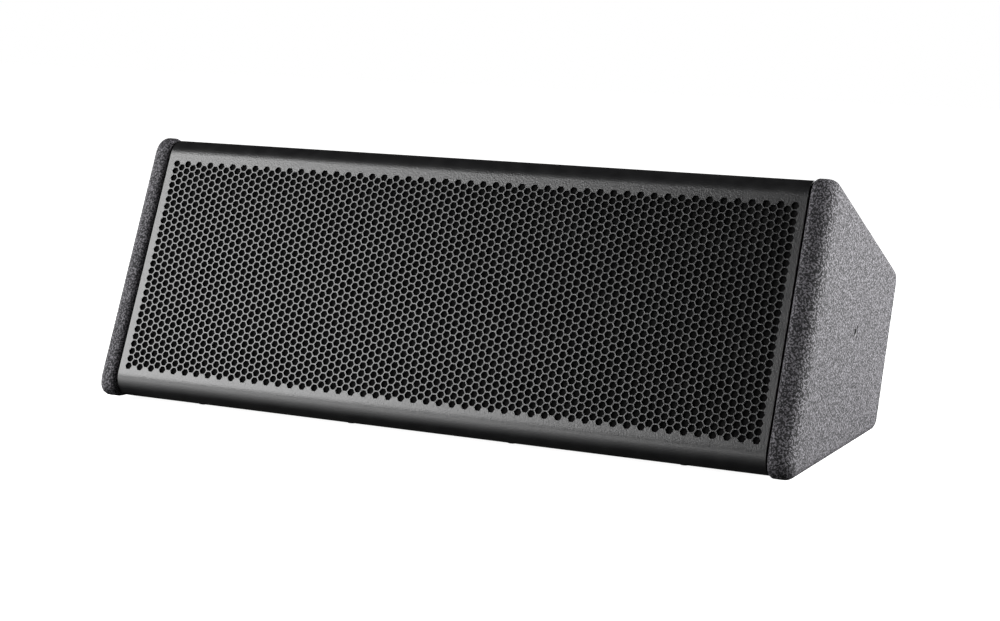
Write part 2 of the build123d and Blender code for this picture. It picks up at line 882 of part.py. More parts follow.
def board_screw_places():
    x, y = board_width / 2 - spacer_inset, board_height / 2 - spacer_inset
    return [Pos(side * x, level * y, 0) for side in (-1, 1) for level in (-1, 1)]


def crossover_board():
    board = plate(board_width, board_height, board_standoff, board_top)
    hole = Pos(0, 0, board_top) * machine_screw_hole(-board_top)
    return board_frame().location * (board - group(board_screw_places(), hole))


def crossover_spacers():
    spacer = ring(spacer_radius, machine_screw + screw_clearance, 0, board_standoff)
    return group([board_frame().location * place for place in board_screw_places()], spacer)


def crossover_screws():
    screw = Pos(0, 0, board_top) * machine_screw_solid(board_top - screw_clearance)
    return group([board_frame().location * place for place in board_screw_places()], screw)


def on_board(x, y, solid):
    return board_frame().location * Pos(x, y, board_top) * solid


def crossover_coils():
    coil = ring(coil_outer, coil_hole, 0, coil_height)
    return Compound(children=[on_board(i * coil_step, coil_row, coil) for i in (-0.5, 0.5)])


def crossover_capacitors():
    body = Pos(0, 0, capacitor_radius) * Rot(0, 90, 0) * Cylinder(capacitor_radius, capacitor_length)
    return Compound(
        children=[on_board(i * capacitor_step, -capacitor_row, body) for i in (-1, 0, 1)]
    )


def crossover_resistors():
    body = plate(resistor_side, resistor_length, 0, resistor_side)
    return Compound(
        children=[on_board(i * resistor_step, resistor_row, body) for i in (-0.5, 0.5)]
    )


# ---- input plate ----
input_frame = rear_frame(0, rear_middle)


def input_screw_frames():
    x, y = input_width / 2 - screw_inset, input_height / 2 - screw_inset
    places = [Pos(side * x, level * y, 0) for side in (-1, 1) for level in (-1, 1)]
    return [input_frame.location * place for place in places]


def socket_places():
    return [Pos(side * socket_spacing / 2, 0, 0) for side in (-1, 1)]


def socket_corners():
    """A socket's two screws, in opposite corners of its flange."""
    x, y = socket_width / 2 - machine_screw_head, socket_height / 2 - machine_screw_head
    return [Pos(x, y, 0), Pos(-x, -y, 0)]


def socket_screw_places():
    return [place * corner for place in socket_places() for corner in socket_corners()]


def input_plate():
    panel = plate(input_width, input_height, -input_thickness, 0, input_corner)
    panel -= group(socket_places(), disc(socket_radius + screw_clearance, -input_thickness, past))
    panel -= group(socket_screw_places(), machine_screw_hole(-input_thickness))
    holes = group(input_screw_frames(), wood_screw_hole(-input_thickness))
    return input_frame.location * panel - holes


def input_socket(place):
    """Four-pole locking socket: square flange, round body, keyed core."""
    floor_level = socket_flange - socket_depth
    body = plate(socket_width, socket_height, 0, socket_flange, socket_corner)
    body += disc(socket_radius, socket_flange - socket_length, socket_flange)
    body -= disc(socket_bore, floor_level, socket_flange + past)
    body += disc(socket_core, floor_level, socket_flange - core_set)
    screw_hole = Pos(0, 0, socket_flange) * machine_screw_hole(-socket_flange - past)
    return input_frame.location * place * (body - group(socket_corners(), screw_hole))


def socket_screws():
    screw = Pos(0, 0, socket_flange) * machine_screw_solid()
    return input_frame.location * group(socket_screw_places(), screw)


# ---- feet and wadding ----
foot_height = side_overlap + foot_proud
foot_screw_seat = foot_height - wood_screw_head_height - foot_screw_room


def foot_frames():
    """Frames in the floors of the four foot recesses."""
    x = half_width - foot_side_gap
    ends = rear_base(side_overlap, side_overlap + wall)
    start = base_point(0, 0)
    length = sqrt((ends[0] - start[0]) ** 2 + (ends[1] - start[1]) ** 2)
    runs = (foot_front, length - foot_rear_gap)
    return [base_frame(side * x, run) for side in (-1, 1) for run in runs]


def foot():
    """Rubber foot with a sunk hole for its screw."""
    body = ring(foot_radius, wood_screw + screw_clearance, -foot_recess, foot_height)
    return body - disc(wood_screw_head + foot_screw_room, foot_screw_seat, foot_height + past)


def foot_screw():
    return Pos(0, 0, foot_screw_seat) * wood_screw_solid()


def damping_pads():
    """Wadding round the right woofer, on the rear skin and under the top skin."""
    inset = side_overlap + wall
    room = half_width - brace_x - brace_thickness / 2 - 2 * pad_margin
    x = brace_x + brace_thickness / 2 + pad_margin + room / 2
    rear_low = rear_base(inset + pad_margin, inset)
    rear_high = rear_top(inset + 2 * pad_margin, inset)
    rear_pad = [
        rear_low,
        rear_high,
        (rear_high[0], rear_high[1] + pad_thickness),
        (rear_low[0], rear_low[1] + pad_thickness),
    ]
    front_end = -baffle_set - wall - pad_margin
    rear_end = rear_top(inset, inset + 2 * pad_thickness)[1]
    top_pad = [
        (inner_top, front_end),
        (inner_top, rear_end),
        (inner_top - pad_thickness, rear_end),
        (inner_top - pad_thickness, front_end),
    ]
    return Compound(children=[across(rear_pad, room, x), across(top_pad, room, x)])


# ---- all the pieces ----
def build():
    pieces = {
        "top_panel": top_skin(),
        "base_panel": base_skin(),
        "rear_panel": rear_skin(),
        "front_baffle": baffle(),
        "grille": grille(),
        "grille_foam": grille_foam(),
        "grille_screws": group(top_screw_frames() + base_screw_frames(), wood_screw_solid()),
        "horn": front_frame(0, horn_y).location * horn(),
        "horn_screws": group(horn_screw_frames(), wood_screw_solid()),
        "tweeter_pole_piece": front_frame(0, horn_y).location * hf_pole_piece(),
        "tweeter_magnet": front_frame(0, horn_y).location * hf_magnet(),
        "tweeter_gap_plate": front_frame(0, horn_y).location * hf_gap_plate(),
        "tweeter_diaphragm": front_frame(0, horn_y).location * hf_diaphragm(),
        "tweeter_suspension": front_frame(0, horn_y).location * hf_suspension(),
        "tweeter_rear_cover": front_frame(0, horn_y).location * hf_cover(),
        "crossover_board": crossover_board(),
        "crossover_spacers": crossover_spacers(),
        "crossover_screws": crossover_screws(),
        "crossover_coils": crossover_coils(),
        "crossover_capacitors": crossover_capacitors(),
        "crossover_resistors": crossover_resistors(),
        "input_plate": input_plate(),
        "input_plate_screws": group(input_screw_frames(), wood_screw_solid()),
        "input_socket": input_socket(socket_places()[0]),
        "link_socket": input_socket(socket_places()[1]),
        "socket_screws": socket_screws(),
        "rubber_feet": group(foot_frames(), foot()),
        "foot_screws": group(foot_frames(), foot_screw()),
        "damping_pads": damping_pads(),
    }
    woofer_pieces = {
        "basket": basket(),
        "terminals": terminals(),
        "top_plate": top_plate(),
        "magnet": magnet(),
        "yoke": yoke(),
        "voice_coil": voice_coil(),
        "cone": cone(),
        "dust_cap": dust_cap(),
        "surround": surround(),
        "spider": spider(),
        "gasket": gasket(),
    }
    bolts = []
    for side, sign in side_signs.items():
        pieces[side + "_side_panel"] = side_panel(sign)
        pieces[side + "_threaded_insert"] = threaded_insert(sign)
        pieces[side + "_brace"] = brace(sign)
        pieces[side + "_port"] = front_frame(sign * port_x, port_y).location * port()
        frame = woofer_frame_at(sign).location
        for name, solid in woofer_pieces.items():
            pieces[side + "_woofer_" + name] = frame * solid
        bolts += [frame * place for place in woofer_bolt_places()]
    pieces["woofer_screws"] = group(bolts, wood_screw_solid())
    return pieces


def stood_up(pieces):
    """Every piece turned onto the feet and moved over the origin."""
    tilt = Rot(90 - base_angle, 0, 0)
    leaning = {name: tilt * piece for name, piece in pieces.items()}
    boxes = [piece.bounding_box() for piece in leaning.values()]
    middle_y = (min(box.min.Y for box in boxes) + max(box.max.Y for box in boxes)) / 2
    shift = Pos(0, -middle_y, -min(box.min.Z for box in boxes))
    return {name: shift * piece for name, piece in leaning.items()}


os.makedirs("parts", exist_ok=True)
for node, piece in stood_up(build()).items():
    export_step(piece, f"parts/{node}.step")
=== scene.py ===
import json
from math import atan2, cos, pi, radians, sin, sqrt, tan

import bmesh
import bpy
from mathutils import Matrix, Vector, noise

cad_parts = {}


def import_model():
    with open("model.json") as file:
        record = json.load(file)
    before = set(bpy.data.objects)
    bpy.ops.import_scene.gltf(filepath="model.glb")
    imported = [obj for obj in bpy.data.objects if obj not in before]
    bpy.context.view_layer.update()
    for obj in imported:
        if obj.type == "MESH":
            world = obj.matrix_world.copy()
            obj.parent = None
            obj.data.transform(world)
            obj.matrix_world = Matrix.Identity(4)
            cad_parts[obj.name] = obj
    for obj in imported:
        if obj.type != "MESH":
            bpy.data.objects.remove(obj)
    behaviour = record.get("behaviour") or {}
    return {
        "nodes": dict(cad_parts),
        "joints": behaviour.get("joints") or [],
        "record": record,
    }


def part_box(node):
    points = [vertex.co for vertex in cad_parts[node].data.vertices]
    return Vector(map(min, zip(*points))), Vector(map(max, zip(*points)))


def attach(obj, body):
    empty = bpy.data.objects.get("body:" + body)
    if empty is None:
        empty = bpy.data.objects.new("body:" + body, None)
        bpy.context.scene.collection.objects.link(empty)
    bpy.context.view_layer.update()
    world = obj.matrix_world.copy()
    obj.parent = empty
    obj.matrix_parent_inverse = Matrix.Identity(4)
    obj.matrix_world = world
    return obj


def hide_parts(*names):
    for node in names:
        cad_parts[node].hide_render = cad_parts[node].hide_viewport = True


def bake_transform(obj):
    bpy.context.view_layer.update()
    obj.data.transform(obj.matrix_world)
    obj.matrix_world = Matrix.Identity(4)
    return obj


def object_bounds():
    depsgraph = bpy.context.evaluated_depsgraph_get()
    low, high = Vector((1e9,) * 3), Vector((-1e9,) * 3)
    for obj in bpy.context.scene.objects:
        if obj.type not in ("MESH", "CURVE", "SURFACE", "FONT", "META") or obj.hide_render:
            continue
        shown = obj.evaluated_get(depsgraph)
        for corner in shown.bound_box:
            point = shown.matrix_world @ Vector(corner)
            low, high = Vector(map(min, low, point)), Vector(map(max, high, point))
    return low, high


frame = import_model()
cad_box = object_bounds()
MM = 0.001

# ---- the leaning front: x to the right, y up along the grille, z straight out of it ----
outward = Vector(frame["joints"][0]["axis"])
LEAN = Matrix.Rotation(atan2(-outward.y, outward.z), 4, "X")
UNLEAN = LEAN.inverted()


def front_box(node):
    """Lowest and highest corner of a CAD node, measured in the leaning frame."""
    turned = [UNLEAN @ vertex.co for vertex in frame["nodes"][node].data.vertices]
    return Vector(map(min, zip(*turned))), Vector(map(max, zip(*turned)))


def column(low, high):
    """Middle of a box."""
    return (low + high) / 2


GRILLE_RISE = 107.5 * MM                    # the grille's top above its perforation's middle
grille_high = front_box("grille")[1]
panel_low, panel_high = front_box("right_side_panel")
FRONT = grille_high.z                       # the grille's front plane
MIDDLE_Y = grille_high.y - GRILLE_RISE      # middle of the perforation
backward = (UNLEAN @ Vector((0, 1, 0))).normalized()     # along the base, towards the rear

# ---- sizes of the dressed pieces ----
SHEET = 1.2 * MM
ROLL = 15 * MM
HOLE_PITCH = 6 * MM
HOLE_FLATS = 5.25 * MM
HOLE_CORNER = 0.36 * MM
HOLE_ROWS = 29
HOLE_COLUMNS = 99
RETURN = 17 * MM
GUARD = 0.6 * MM              # narrow strips that keep the flats flat beside the rolls
ROLL_STEPS = 14
CELL_WELD = 0.02 * MM         # joins neighbouring cells
FRONT_CORNER = 15 * MM        # a side panel's corners, seen from the side
REAR_CORNER = 12 * MM
EDGE_ROUND = 8 * MM           # its outer edge
FRONT_ROUND = 14 * MM         # the bullnose along its front
INNER_ROUND = 3.5 * MM        # its inner front edge
CORNER_STEPS, EDGE_STEPS = 10, 8         # segments of a corner, and of an edge's round
REAR_TILT = radians(2)
INSERT_SET = 0.25 * MM        # step down to the painted insert
INSERT_HOLE = 14 * MM         # depth of the panel's hole
INSERT_LIP = 1 * MM
INSERT_PLAY = 0.01 * MM       # to the panel's hole
THREAD_MINOR = 2.5 * MM       # an M6 thread, outside the mount's bore
THREAD_DEPTH = 0.5 * MM
THREAD_PITCH = 1 * MM

# ---- directions and material slots ----
REAR = LEAN.to_3x3() @ Vector((0, sin(REAR_TILT), -cos(REAR_TILT)))
TOP = LEAN.to_3x3() @ Vector((0, 1, 0))
DOWN = Vector((0, 0, -1))
SLOTS = {entry["node"]: entry["material_slot"] for entry in frame["record"]["subparts"]}

# ---- sizes of the sockets, screws, feet and soft pieces ----
NEAR = 0.1 * MM               # how close a point counts as being at a size
PART_WELD = 0.001 * MM        # merges a CAD node's doubled points
TURN_WELD = 0.002 * MM        # closes a turned piece on its axis
SOCKET_WELD = 0.01 * MM       # joins a socket's surfaces
BORE_SEGMENTS = 48
SCREW_CROWN = [(1, 0.55), (0.97, 0.33), (0.88, 0.12), (0.72, 0)]   # shares of radius and height
CROSS_ARM, CROSS_HALF = 0.52, 0.13       # shares of a screw head's radius
CROSS_DEPTH, CROSS_TAPER = 0.8, 0.8
SOCKET_FLANGE = 2.5 * MM      # thickness
SOCKET_CORNER = 3 * MM        # of the flange, seen from the front
SOCKET_BODY = 12 * MM         # radius behind the flange
SOCKET_BORE = 10.4 * MM       # radius
SOCKET_DEPTH = 20 * MM
SOCKET_CORE = 5 * MM          # radius
CORE_SET = 2 * MM             # the core's face below the flange
KEYWAY = 11.3 * MM            # radius
CONTACT_RING = 7.7 * MM       # radius that the contacts stand on
CONTACT_SIZE = (0.9 * MM, 3 * MM, 9 * MM)     # radial, across and deep
CONTACT_DEPTH = 0.75          # share of the bore's depth
KEYWAYS, KEYWAY_ANGLE = 3, radians(9)     # half of one keyway's width
POLES = 4
PLASTIC_EDGE = 0.5 * MM       # eased edge of a moulding
FOOT_EDGE = 1.8 * MM          # round of a foot's rim
FOOT_STEPS = 5
CONE_MOUTH = 54 * MM          # inner edge of the surround
ROLL_START = 57.6 * MM        # its half roll
ROLL_END = 64.9 * MM
RIM_START = ROLL_END + 0.1 * MM          # where its rim's underside begins
SURROUND_WALL = 0.8 * MM
SURROUND_LIFT = 0.3 * MM      # of its inner part, above the plane its rim lies on
SURROUND_OUTER = 72.9 * MM
SURROUND_SECTORS = 12
SPIDER_INNER = 16.7 * MM
SPIDER_FREE = 43 * MM         # beyond this radius it is glued to the frame
SPIDER_OUTER = 48.9 * MM
SPIDER_WAVES, WAVE_STEPS = 3, 12
SPIDER_RISE = 0.8 * MM        # half a wave's height
SPIDER_WALL = 0.5 * MM
SPIDER_SECTORS = 8
SECTOR_STEPS = 4
DOME_EDGE = 22 * MM           # inner edge of the dome's suspension
DOME_FREE = 29 * MM           # beyond this radius it is held
DOME_OUTER = 30 * MM
DOME_ROLL = 1.2 * MM
VOXEL = 4 * MM                # of the wadding's remesh
FLEECE_LUMPS, FLEECE_FIBRES = 60, 260    # per metre
FLEECE_RELIEF, FLEECE_SET = 0.8, 0.6     # in millimetres
SMOOTH_PASSES = 4
FOAM_CUTS = 60
FOAM_LUMPS, FOAM_CELLS = 160, 700        # per metre
FOAM_SET, FOAM_RELIEF = 0.35, 0.3        # in millimetres


# ---- mesh helpers ----
def mesh_from(bm, name):
    mesh = bpy.data.meshes.new(name)
    bm.to_mesh(mesh)
    bm.free()
    return mesh


def finished(bm, name, material, body, replaces=(), sharp=35, lean=True):
    """A bmesh as a piece: stood in the row frame, shaded, dressed and riding on its body."""
    if lean:
        bmesh.ops.transform(bm, matrix=LEAN, verts=bm.verts)
    for face in bm.faces:
        face.smooth = True
    for edge in bm.edges:
        edge.smooth = edge.is_manifold and edge.calc_face_angle(pi) < radians(sharp)
    piece = bpy.data.objects.new(name, mesh_from(bm, name))
    bpy.context.scene.collection.objects.link(piece)
    piece.data.materials.append(material)
    if body:
        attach(piece, body)
    if replaces:
        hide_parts(*replaces)
    return piece


def joined(meshes):
    """Several meshes in one bmesh."""
    bm = bmesh.new()
    for mesh in meshes:
        bm.from_mesh(mesh)
    return bm


def repeated(mesh, step, count):
    """count copies of a mesh, each moved on by step, in one mesh."""
    bm = bmesh.new()
    for _ in range(count):
        bm.from_mesh(mesh)
        mesh.transform(Matrix.Translation(step))
    return mesh_from(bm, mesh.name + "_row")


# ---- shader helpers ----
CELL_SHARE, PATCH_SHARE = 0.28, 0.03     # weight of cells and patches in the paint's relief


def node(tree, kind, inputs=None, **settings):
    """A shader node with its settings, constant inputs and links."""
    made = tree.nodes.new("ShaderNode" + kind)
    for name, value in settings.items():
        setattr(made, name, value)
    for name, value in (inputs or {}).items():
        if isinstance(value, bpy.types.NodeSocket):
            tree.links.new(value, made.inputs[name])
        else:
            made.inputs[name].default_value = value
    return made


def ramp(tree, value, stops):
    made = node(tree, "ValToRGB", {"Fac": value})
    elements = made.color_ramp.elements
    while len(elements) < len(stops):
        elements.new(0.5)
    for element, (place, level) in zip(elements, stops):
        element.position = place
        element.color = (*level, 1) if isinstance(level, tuple) else (level, level, level, 1)
    return made.outputs["Color"]


def effect(name, inputs, outputs):
    """An empty node group with its sockets, and its input and output nodes."""
    tree = bpy.data.node_groups.new(name, "ShaderNodeTree")
    for label, value in inputs.items():
        kind = "NodeSocketColor" if isinstance(value, tuple) else "NodeSocketFloat"
        made = tree.interface.new_socket(name=label, in_out="INPUT", socket_type=kind)
        made.default_value = value
    for label, kind in outputs.items():
        tree.interface.new_socket(name=label, in_out="OUTPUT", socket_type="NodeSocket" + kind)
    return tree, tree.nodes.new("NodeGroupInput").outputs, tree.nodes.new("NodeGroupOutput").inputs


def math_node(tree, operation, first, second=0.0):
    return node(tree, "Math", {0: first, 1: second}, operation=operation).outputs[0]


def structured_paint_effect():
    """Coarse textured paint: raised grains of mixed size, coloured lighter on the crests and darker
    in the pits: the paint's own flecks together with a painted highlight on the crests and painted
    shade in the pits.
    """
    tree, given, result = effect(
        "structured_paint",
        {"Grain": 900.0, "Dark": (0.02, 0.02, 0.02, 1), "Light": (0.2, 0.2, 0.2, 1)},
        {"Colour": "Color", "Height": "Float", "Roughness": "Float"},
    )
    place = node(tree, "TexCoord").outputs["Object"]
    coarse = node(tree, "TexNoise", {"Vector": place, "Scale": given["Grain"], "Detail": 2.0,
                                     "Roughness": 0.6, "Distortion": 0.3})
    cells = node(tree, "TexVoronoi", {"Vector": place, "Scale": given["Grain"]},
                 feature="SMOOTH_F1")
    patch = node(tree, "TexNoise", {"Vector": place, "Scale": 60.0, "Detail": 2.0})
    grain = math_node(tree, "SUBTRACT", coarse.outputs["Fac"],
                      math_node(tree, "MULTIPLY", cells.outputs["Distance"], CELL_SHARE))
    height = math_node(tree, "ADD", grain,
                       math_node(tree, "MULTIPLY", patch.outputs["Fac"], PATCH_SHARE))
    # colour follows the relief: painted shade in the pits and a painted highlight on the crests, on
    # top of the paint's own flecks
    speckle_and_pit_shade = ramp(tree, grain, [(0.33, 0.0), (0.4, 0.3), (0.47, 1.0)])
    colour = node(tree, "Mix", {"Factor": speckle_and_pit_shade, 6: given["Dark"], 7: given["Light"]},
                  data_type="RGBA")
    tree.links.new(colour.outputs[2], result["Colour"])
    tree.links.new(height, result["Height"])
    rough = node(tree, "MapRange", {"Value": speckle_and_pit_shade, "To Min": 0.85, "To Max": 0.6})
    tree.links.new(rough.outputs["Result"], result["Roughness"])
    return tree


def orange_peel_effect():
    """Powder coat: fine rippled skin with faint clouding."""
    tree, given, result = effect(
        "orange_peel", {"Scale": 500.0}, {"Height": "Float", "Cloud": "Float"}
    )
    place = node(tree, "TexCoord").outputs["Object"]
    ripple = node(tree, "TexNoise", {"Vector": place, "Scale": given["Scale"], "Detail": 2.0,
                                     "Roughness": 0.5, "Distortion": 0.6})
    cloud = node(tree, "TexNoise", {"Vector": place, "Scale": 90.0, "Detail": 3.0})
    tree.links.new(ripple.outputs["Fac"], result["Height"])
    tree.links.new(cloud.outputs["Fac"], result["Cloud"])
    return tree


def moulded_grain_effect():
    """Fine spark-eroded texture of a moulding, with faint dust in its hollows."""
    tree, given, result = effect(
        "moulded_grain", {"Scale": 1400.0}, {"Height": "Float", "Dust": "Float"}
    )
    place = node(tree, "TexCoord").outputs["Object"]
    pits = node(tree, "TexVoronoi", {"Vector": place, "Scale": given["Scale"]})
    dust = node(tree, "TexNoise", {"Vector": place, "Scale": 55.0, "Detail": 4.0})
    tree.links.new(pits.outputs["Distance"], result["Height"])
    tree.links.new(dust.outputs["Fac"], result["Dust"])
    return tree


STRUCTURED_PAINT = structured_paint_effect()
ORANGE_PEEL = orange_peel_effect()
MOULDED_GRAIN = moulded_grain_effect()


def use(tree, group, **values):
    made = tree.nodes.new("ShaderNodeGroup")
    made.node_tree = group
    for name, value in values.items():
        made.inputs[name].default_value = value
    return made.outputs


def material(name, constants):
    """A material whose Principled shader has the given constant sockets."""
    made = bpy.data.materials.new(name)
    made.use_nodes = True
    shader = made.node_tree.nodes["Principled BSDF"]
    for socket, value in constants.items():
        shader.inputs[socket].default_value = value
    return made, made.node_tree, shader.inputs


def bumped(tree, height, strength, distance):
    return node(tree, "Bump", {"Height": height, "Strength": strength, "Distance": distance})


def grained_paint(name, dark, light, grain, strength, distance):
    made, tree, shader = material(name, {"Specular IOR Level": 0.25})
    paint = use(tree, STRUCTURED_PAINT, Grain=grain, Dark=(*dark, 1), Light=(*light, 1))
    tree.links.new(paint["Colour"], shader["Base Color"])
    tree.links.new(paint["Roughness"], shader["Roughness"])
    bump = bumped(tree, paint["Height"], strength, distance)
    tree.links.new(bump.outputs["Normal"], shader["Normal"])
    return made


def powder_coat(name, dark, light, roughness, strength, distance, scale=500.0):
    made, tree, shader = material(name, {"Specular IOR Level": 0.5})
    peel = use(tree, ORANGE_PEEL, Scale=scale)
    colour = ramp(tree, peel["Cloud"], [(0.35, dark), (0.65, light)])
    tree.links.new(colour, shader["Base Color"])
    rough = node(tree, "MapRange", {"Value": peel["Cloud"], "To Min": roughness * 0.92,
                                    "To Max": roughness * 1.08})
    tree.links.new(rough.outputs["Result"], shader["Roughness"])
    bump = bumped(tree, peel["Height"], strength, distance)
    tree.links.new(bump.outputs["Normal"], shader["Normal"])
    return made


def moulding(name, dark, light, roughness, metallic=0.0, scale=1400.0, distance=0.05 * MM,
             specular=0.5):
    made, tree, shader = material(name, {"Metallic": metallic, "Specular IOR Level": specular})
    grain = use(tree, MOULDED_GRAIN, Scale=scale)
    colour = ramp(tree, grain["Dust"], [(0.35, dark), (0.7, light)])
    tree.links.new(colour, shader["Base Color"])
    rough = node(tree, "MapRange", {"Value": grain["Dust"], "To Min": roughness - 0.06,
                                    "To Max": roughness + 0.06})
    tree.links.new(rough.outputs["Result"], shader["Roughness"])
    bump = bumped(tree, grain["Height"], 0.5, distance)
    tree.links.new(bump.outputs["Normal"], shader["Normal"])
    return made


SIDE_PAINT = grained_paint("side_paint", (0.006, 0.006, 0.007), (0.115, 0.11, 0.122), 760.0,
                           1.0, 0.7 * MM)
PANEL_PAINT = grained_paint("panel_paint", (0.008, 0.008, 0.009), (0.045, 0.045, 0.048), 1300.0,
                            0.8, 0.22 * MM)
GRILLE_COAT = powder_coat("grille_coat", (0.007, 0.007, 0.0075), (0.011, 0.011, 0.0115), 0.3,
                          1.0, 0.13 * MM, scale=850.0)
# black foam made darker than real foam, to paint the shade inside the grille's holes
FOAM_AND_HOLE_SHADE = moulding("foam", (0.001, 0.001, 0.001), (0.006, 0.006, 0.006), 0.95, scale=900.0,
                distance=0.4 * MM, specular=0.08)
FINISHES = {
    "side_paint": SIDE_PAINT,
    "panel_paint": PANEL_PAINT,
    "grille_coat": GRILLE_COAT,
    "foam": FOAM_AND_HOLE_SHADE,
    "baffle_paint": powder_coat("baffle_paint", (0.01, 0.01, 0.01), (0.02, 0.02, 0.02), 0.8,
                                0.4, 0.1 * MM),
    "plywood": moulding("plywood", (0.45, 0.31, 0.17), (0.62, 0.46, 0.28), 0.7),
    "black_screw": moulding("black_screw", (0.02, 0.02, 0.02), (0.035, 0.035, 0.035), 0.4, 0.8),
    "basket_paint": powder_coat("basket_paint", (0.02, 0.02, 0.02), (0.03, 0.03, 0.03), 0.4,
                                0.4, 0.05 * MM),
    "magnet": moulding("magnet", (0.04, 0.04, 0.042), (0.06, 0.06, 0.062), 0.65),
    "plated_steel": moulding("plated_steel", (0.5, 0.5, 0.48), (0.62, 0.62, 0.6), 0.35, 1.0),
    "copper": moulding("copper", (0.55, 0.25, 0.1), (0.7, 0.36, 0.18), 0.3, 1.0),
    "cone_paper": moulding("cone_paper", (0.02, 0.02, 0.02), (0.035, 0.035, 0.035), 0.8),
    "dust_cap": moulding("dust_cap", (0.015, 0.015, 0.015), (0.025, 0.025, 0.025), 0.6),
    "surround_rubber": moulding("surround_rubber", (0.012, 0.012, 0.012), (0.02, 0.02, 0.02), 0.6),
    "spider_cloth": moulding("spider_cloth", (0.3, 0.2, 0.06), (0.42, 0.3, 0.12), 0.85),
    "gasket": moulding("gasket", (0.02, 0.02, 0.02), (0.04, 0.04, 0.04), 0.8),
    "horn_plastic": moulding("horn_plastic", (0.012, 0.012, 0.012), (0.02, 0.02, 0.02), 0.5),
    "port_plastic": moulding("port_plastic", (0.012, 0.012, 0.012), (0.02, 0.02, 0.02), 0.45),
    "titanium": moulding("titanium", (0.45, 0.45, 0.46), (0.55, 0.55, 0.57), 0.3, 1.0),
    "board": moulding("board", (0.015, 0.09, 0.04), (0.03, 0.13, 0.06), 0.35),
    "spacer": moulding("spacer", (0.6, 0.6, 0.58), (0.75, 0.75, 0.72), 0.5),
    "capacitor": moulding("capacitor", (0.35, 0.05, 0.02), (0.5, 0.09, 0.03), 0.3),
    "resistor": moulding("resistor", (0.6, 0.59, 0.55), (0.72, 0.71, 0.67), 0.85),
    "input_plate": powder_coat("input_plate", (0.012, 0.012, 0.012), (0.02, 0.02, 0.02), 0.45,
                               0.5, 0.06 * MM),
    "socket_plastic": moulding("socket_plastic", (0.012, 0.012, 0.013), (0.02, 0.02, 0.021), 0.4),
    "insert_steel": moulding("insert_steel", (0.1, 0.1, 0.1), (0.16, 0.16, 0.16), 0.45, 0.7),
    "foot_rubber": moulding("foot_rubber", (0.012, 0.012, 0.012), (0.022, 0.022, 0.022), 0.75),
    "wadding": moulding("wadding", (0.6, 0.6, 0.57), (0.75, 0.75, 0.72), 0.95),
    "terminal": moulding("terminal", (0.1, 0.05, 0.02), (0.16, 0.09, 0.04), 0.5),
}


def dress_cad_nodes():
    """Every CAD node gets the finish of its own material slot."""
    for entry in frame["record"]["subparts"]:
        target = frame["nodes"][entry["node"]]
        finish = FINISHES[entry["material_slot"]]
        if not target.data.materials:
            target.data.materials.append(finish)
        for place in range(len(target.material_slots)):
            target.material_slots[place].material = finish


# ---- grille ----
def perforation_cell():
    """One honeycomb cell: a web round a hexagonal hole with eased corners."""
    bm = bmesh.new()
    corners = bmesh.ops.create_circle(bm, cap_ends=True, segments=6, radius=HOLE_PITCH / sqrt(3))
    bmesh.ops.rotate(bm, verts=corners["verts"], matrix=Matrix.Rotation(radians(30), 3, "Z"))
    hole = bm.faces[:][0]
    outer = list(bm.verts)
    bmesh.ops.inset_individual(bm, faces=[hole], thickness=(HOLE_PITCH - HOLE_FLATS) / 2,
                               use_even_offset=True)
    bmesh.ops.bevel(bm, geom=list(hole.verts), offset=HOLE_CORNER, affect="VERTICES", segments=1,
                    profile=0.5, material=-1)
    hole = max(bm.faces, key=lambda face: len(face.verts) if face.calc_center_median().length < MM
               else 0)
    hole.material_index = 1
    ring = set(hole.verts)
    loose = [vertex for vertex in bm.verts if vertex not in ring and vertex not in outer]
    target = {vertex: min(outer, key=lambda corner: (corner.co - vertex.co).length)
              for vertex in loose}
    bmesh.ops.weld_verts(bm, targetmap=target)
    return mesh_from(bm, "cell")


def honeycomb():
    """All the cells: columns of HOLE_ROWS and one fewer, in turn."""
    step = HOLE_PITCH * cos(radians(30))
    bm = bmesh.new()
    for place in range(HOLE_COLUMNS):
        short = place % 2
        rows = HOLE_ROWS - short
        strip = repeated(perforation_cell(), (0, HOLE_PITCH, 0), rows)
        x = (place - (HOLE_COLUMNS - 1) / 2) * step
        y = -(rows - 1) / 2 * HOLE_PITCH
        strip.transform(Matrix.Translation((x, y, 0)))
        bm.from_mesh(strip)
        bpy.data.meshes.remove(strip)
    bmesh.ops.remove_doubles(bm, verts=bm.verts, dist=CELL_WELD)
    return bm


def grown_edges(bm, edges, move):
    """Edges drawn out into faces; gives the new edges."""
    grown = bmesh.ops.extrude_edge_only(bm, edges=edges)["geom"]
    bmesh.ops.translate(bm, verts=[g for g in grown if isinstance(g, bmesh.types.BMVert)], vec=move)
    return [g for g in grown if isinstance(g, bmesh.types.BMEdge)]


def rolled_edge(bm, edges, centre, angle):
    """Edges swept round a roll's axis; gives the last edges."""
    swept = bmesh.ops.spin(bm, geom=edges, cent=centre, axis=(1, 0, 0), angle=angle,
                           steps=ROLL_STEPS)["geom_last"]
    return [g for g in swept if isinstance(g, bmesh.types.BMEdge)]


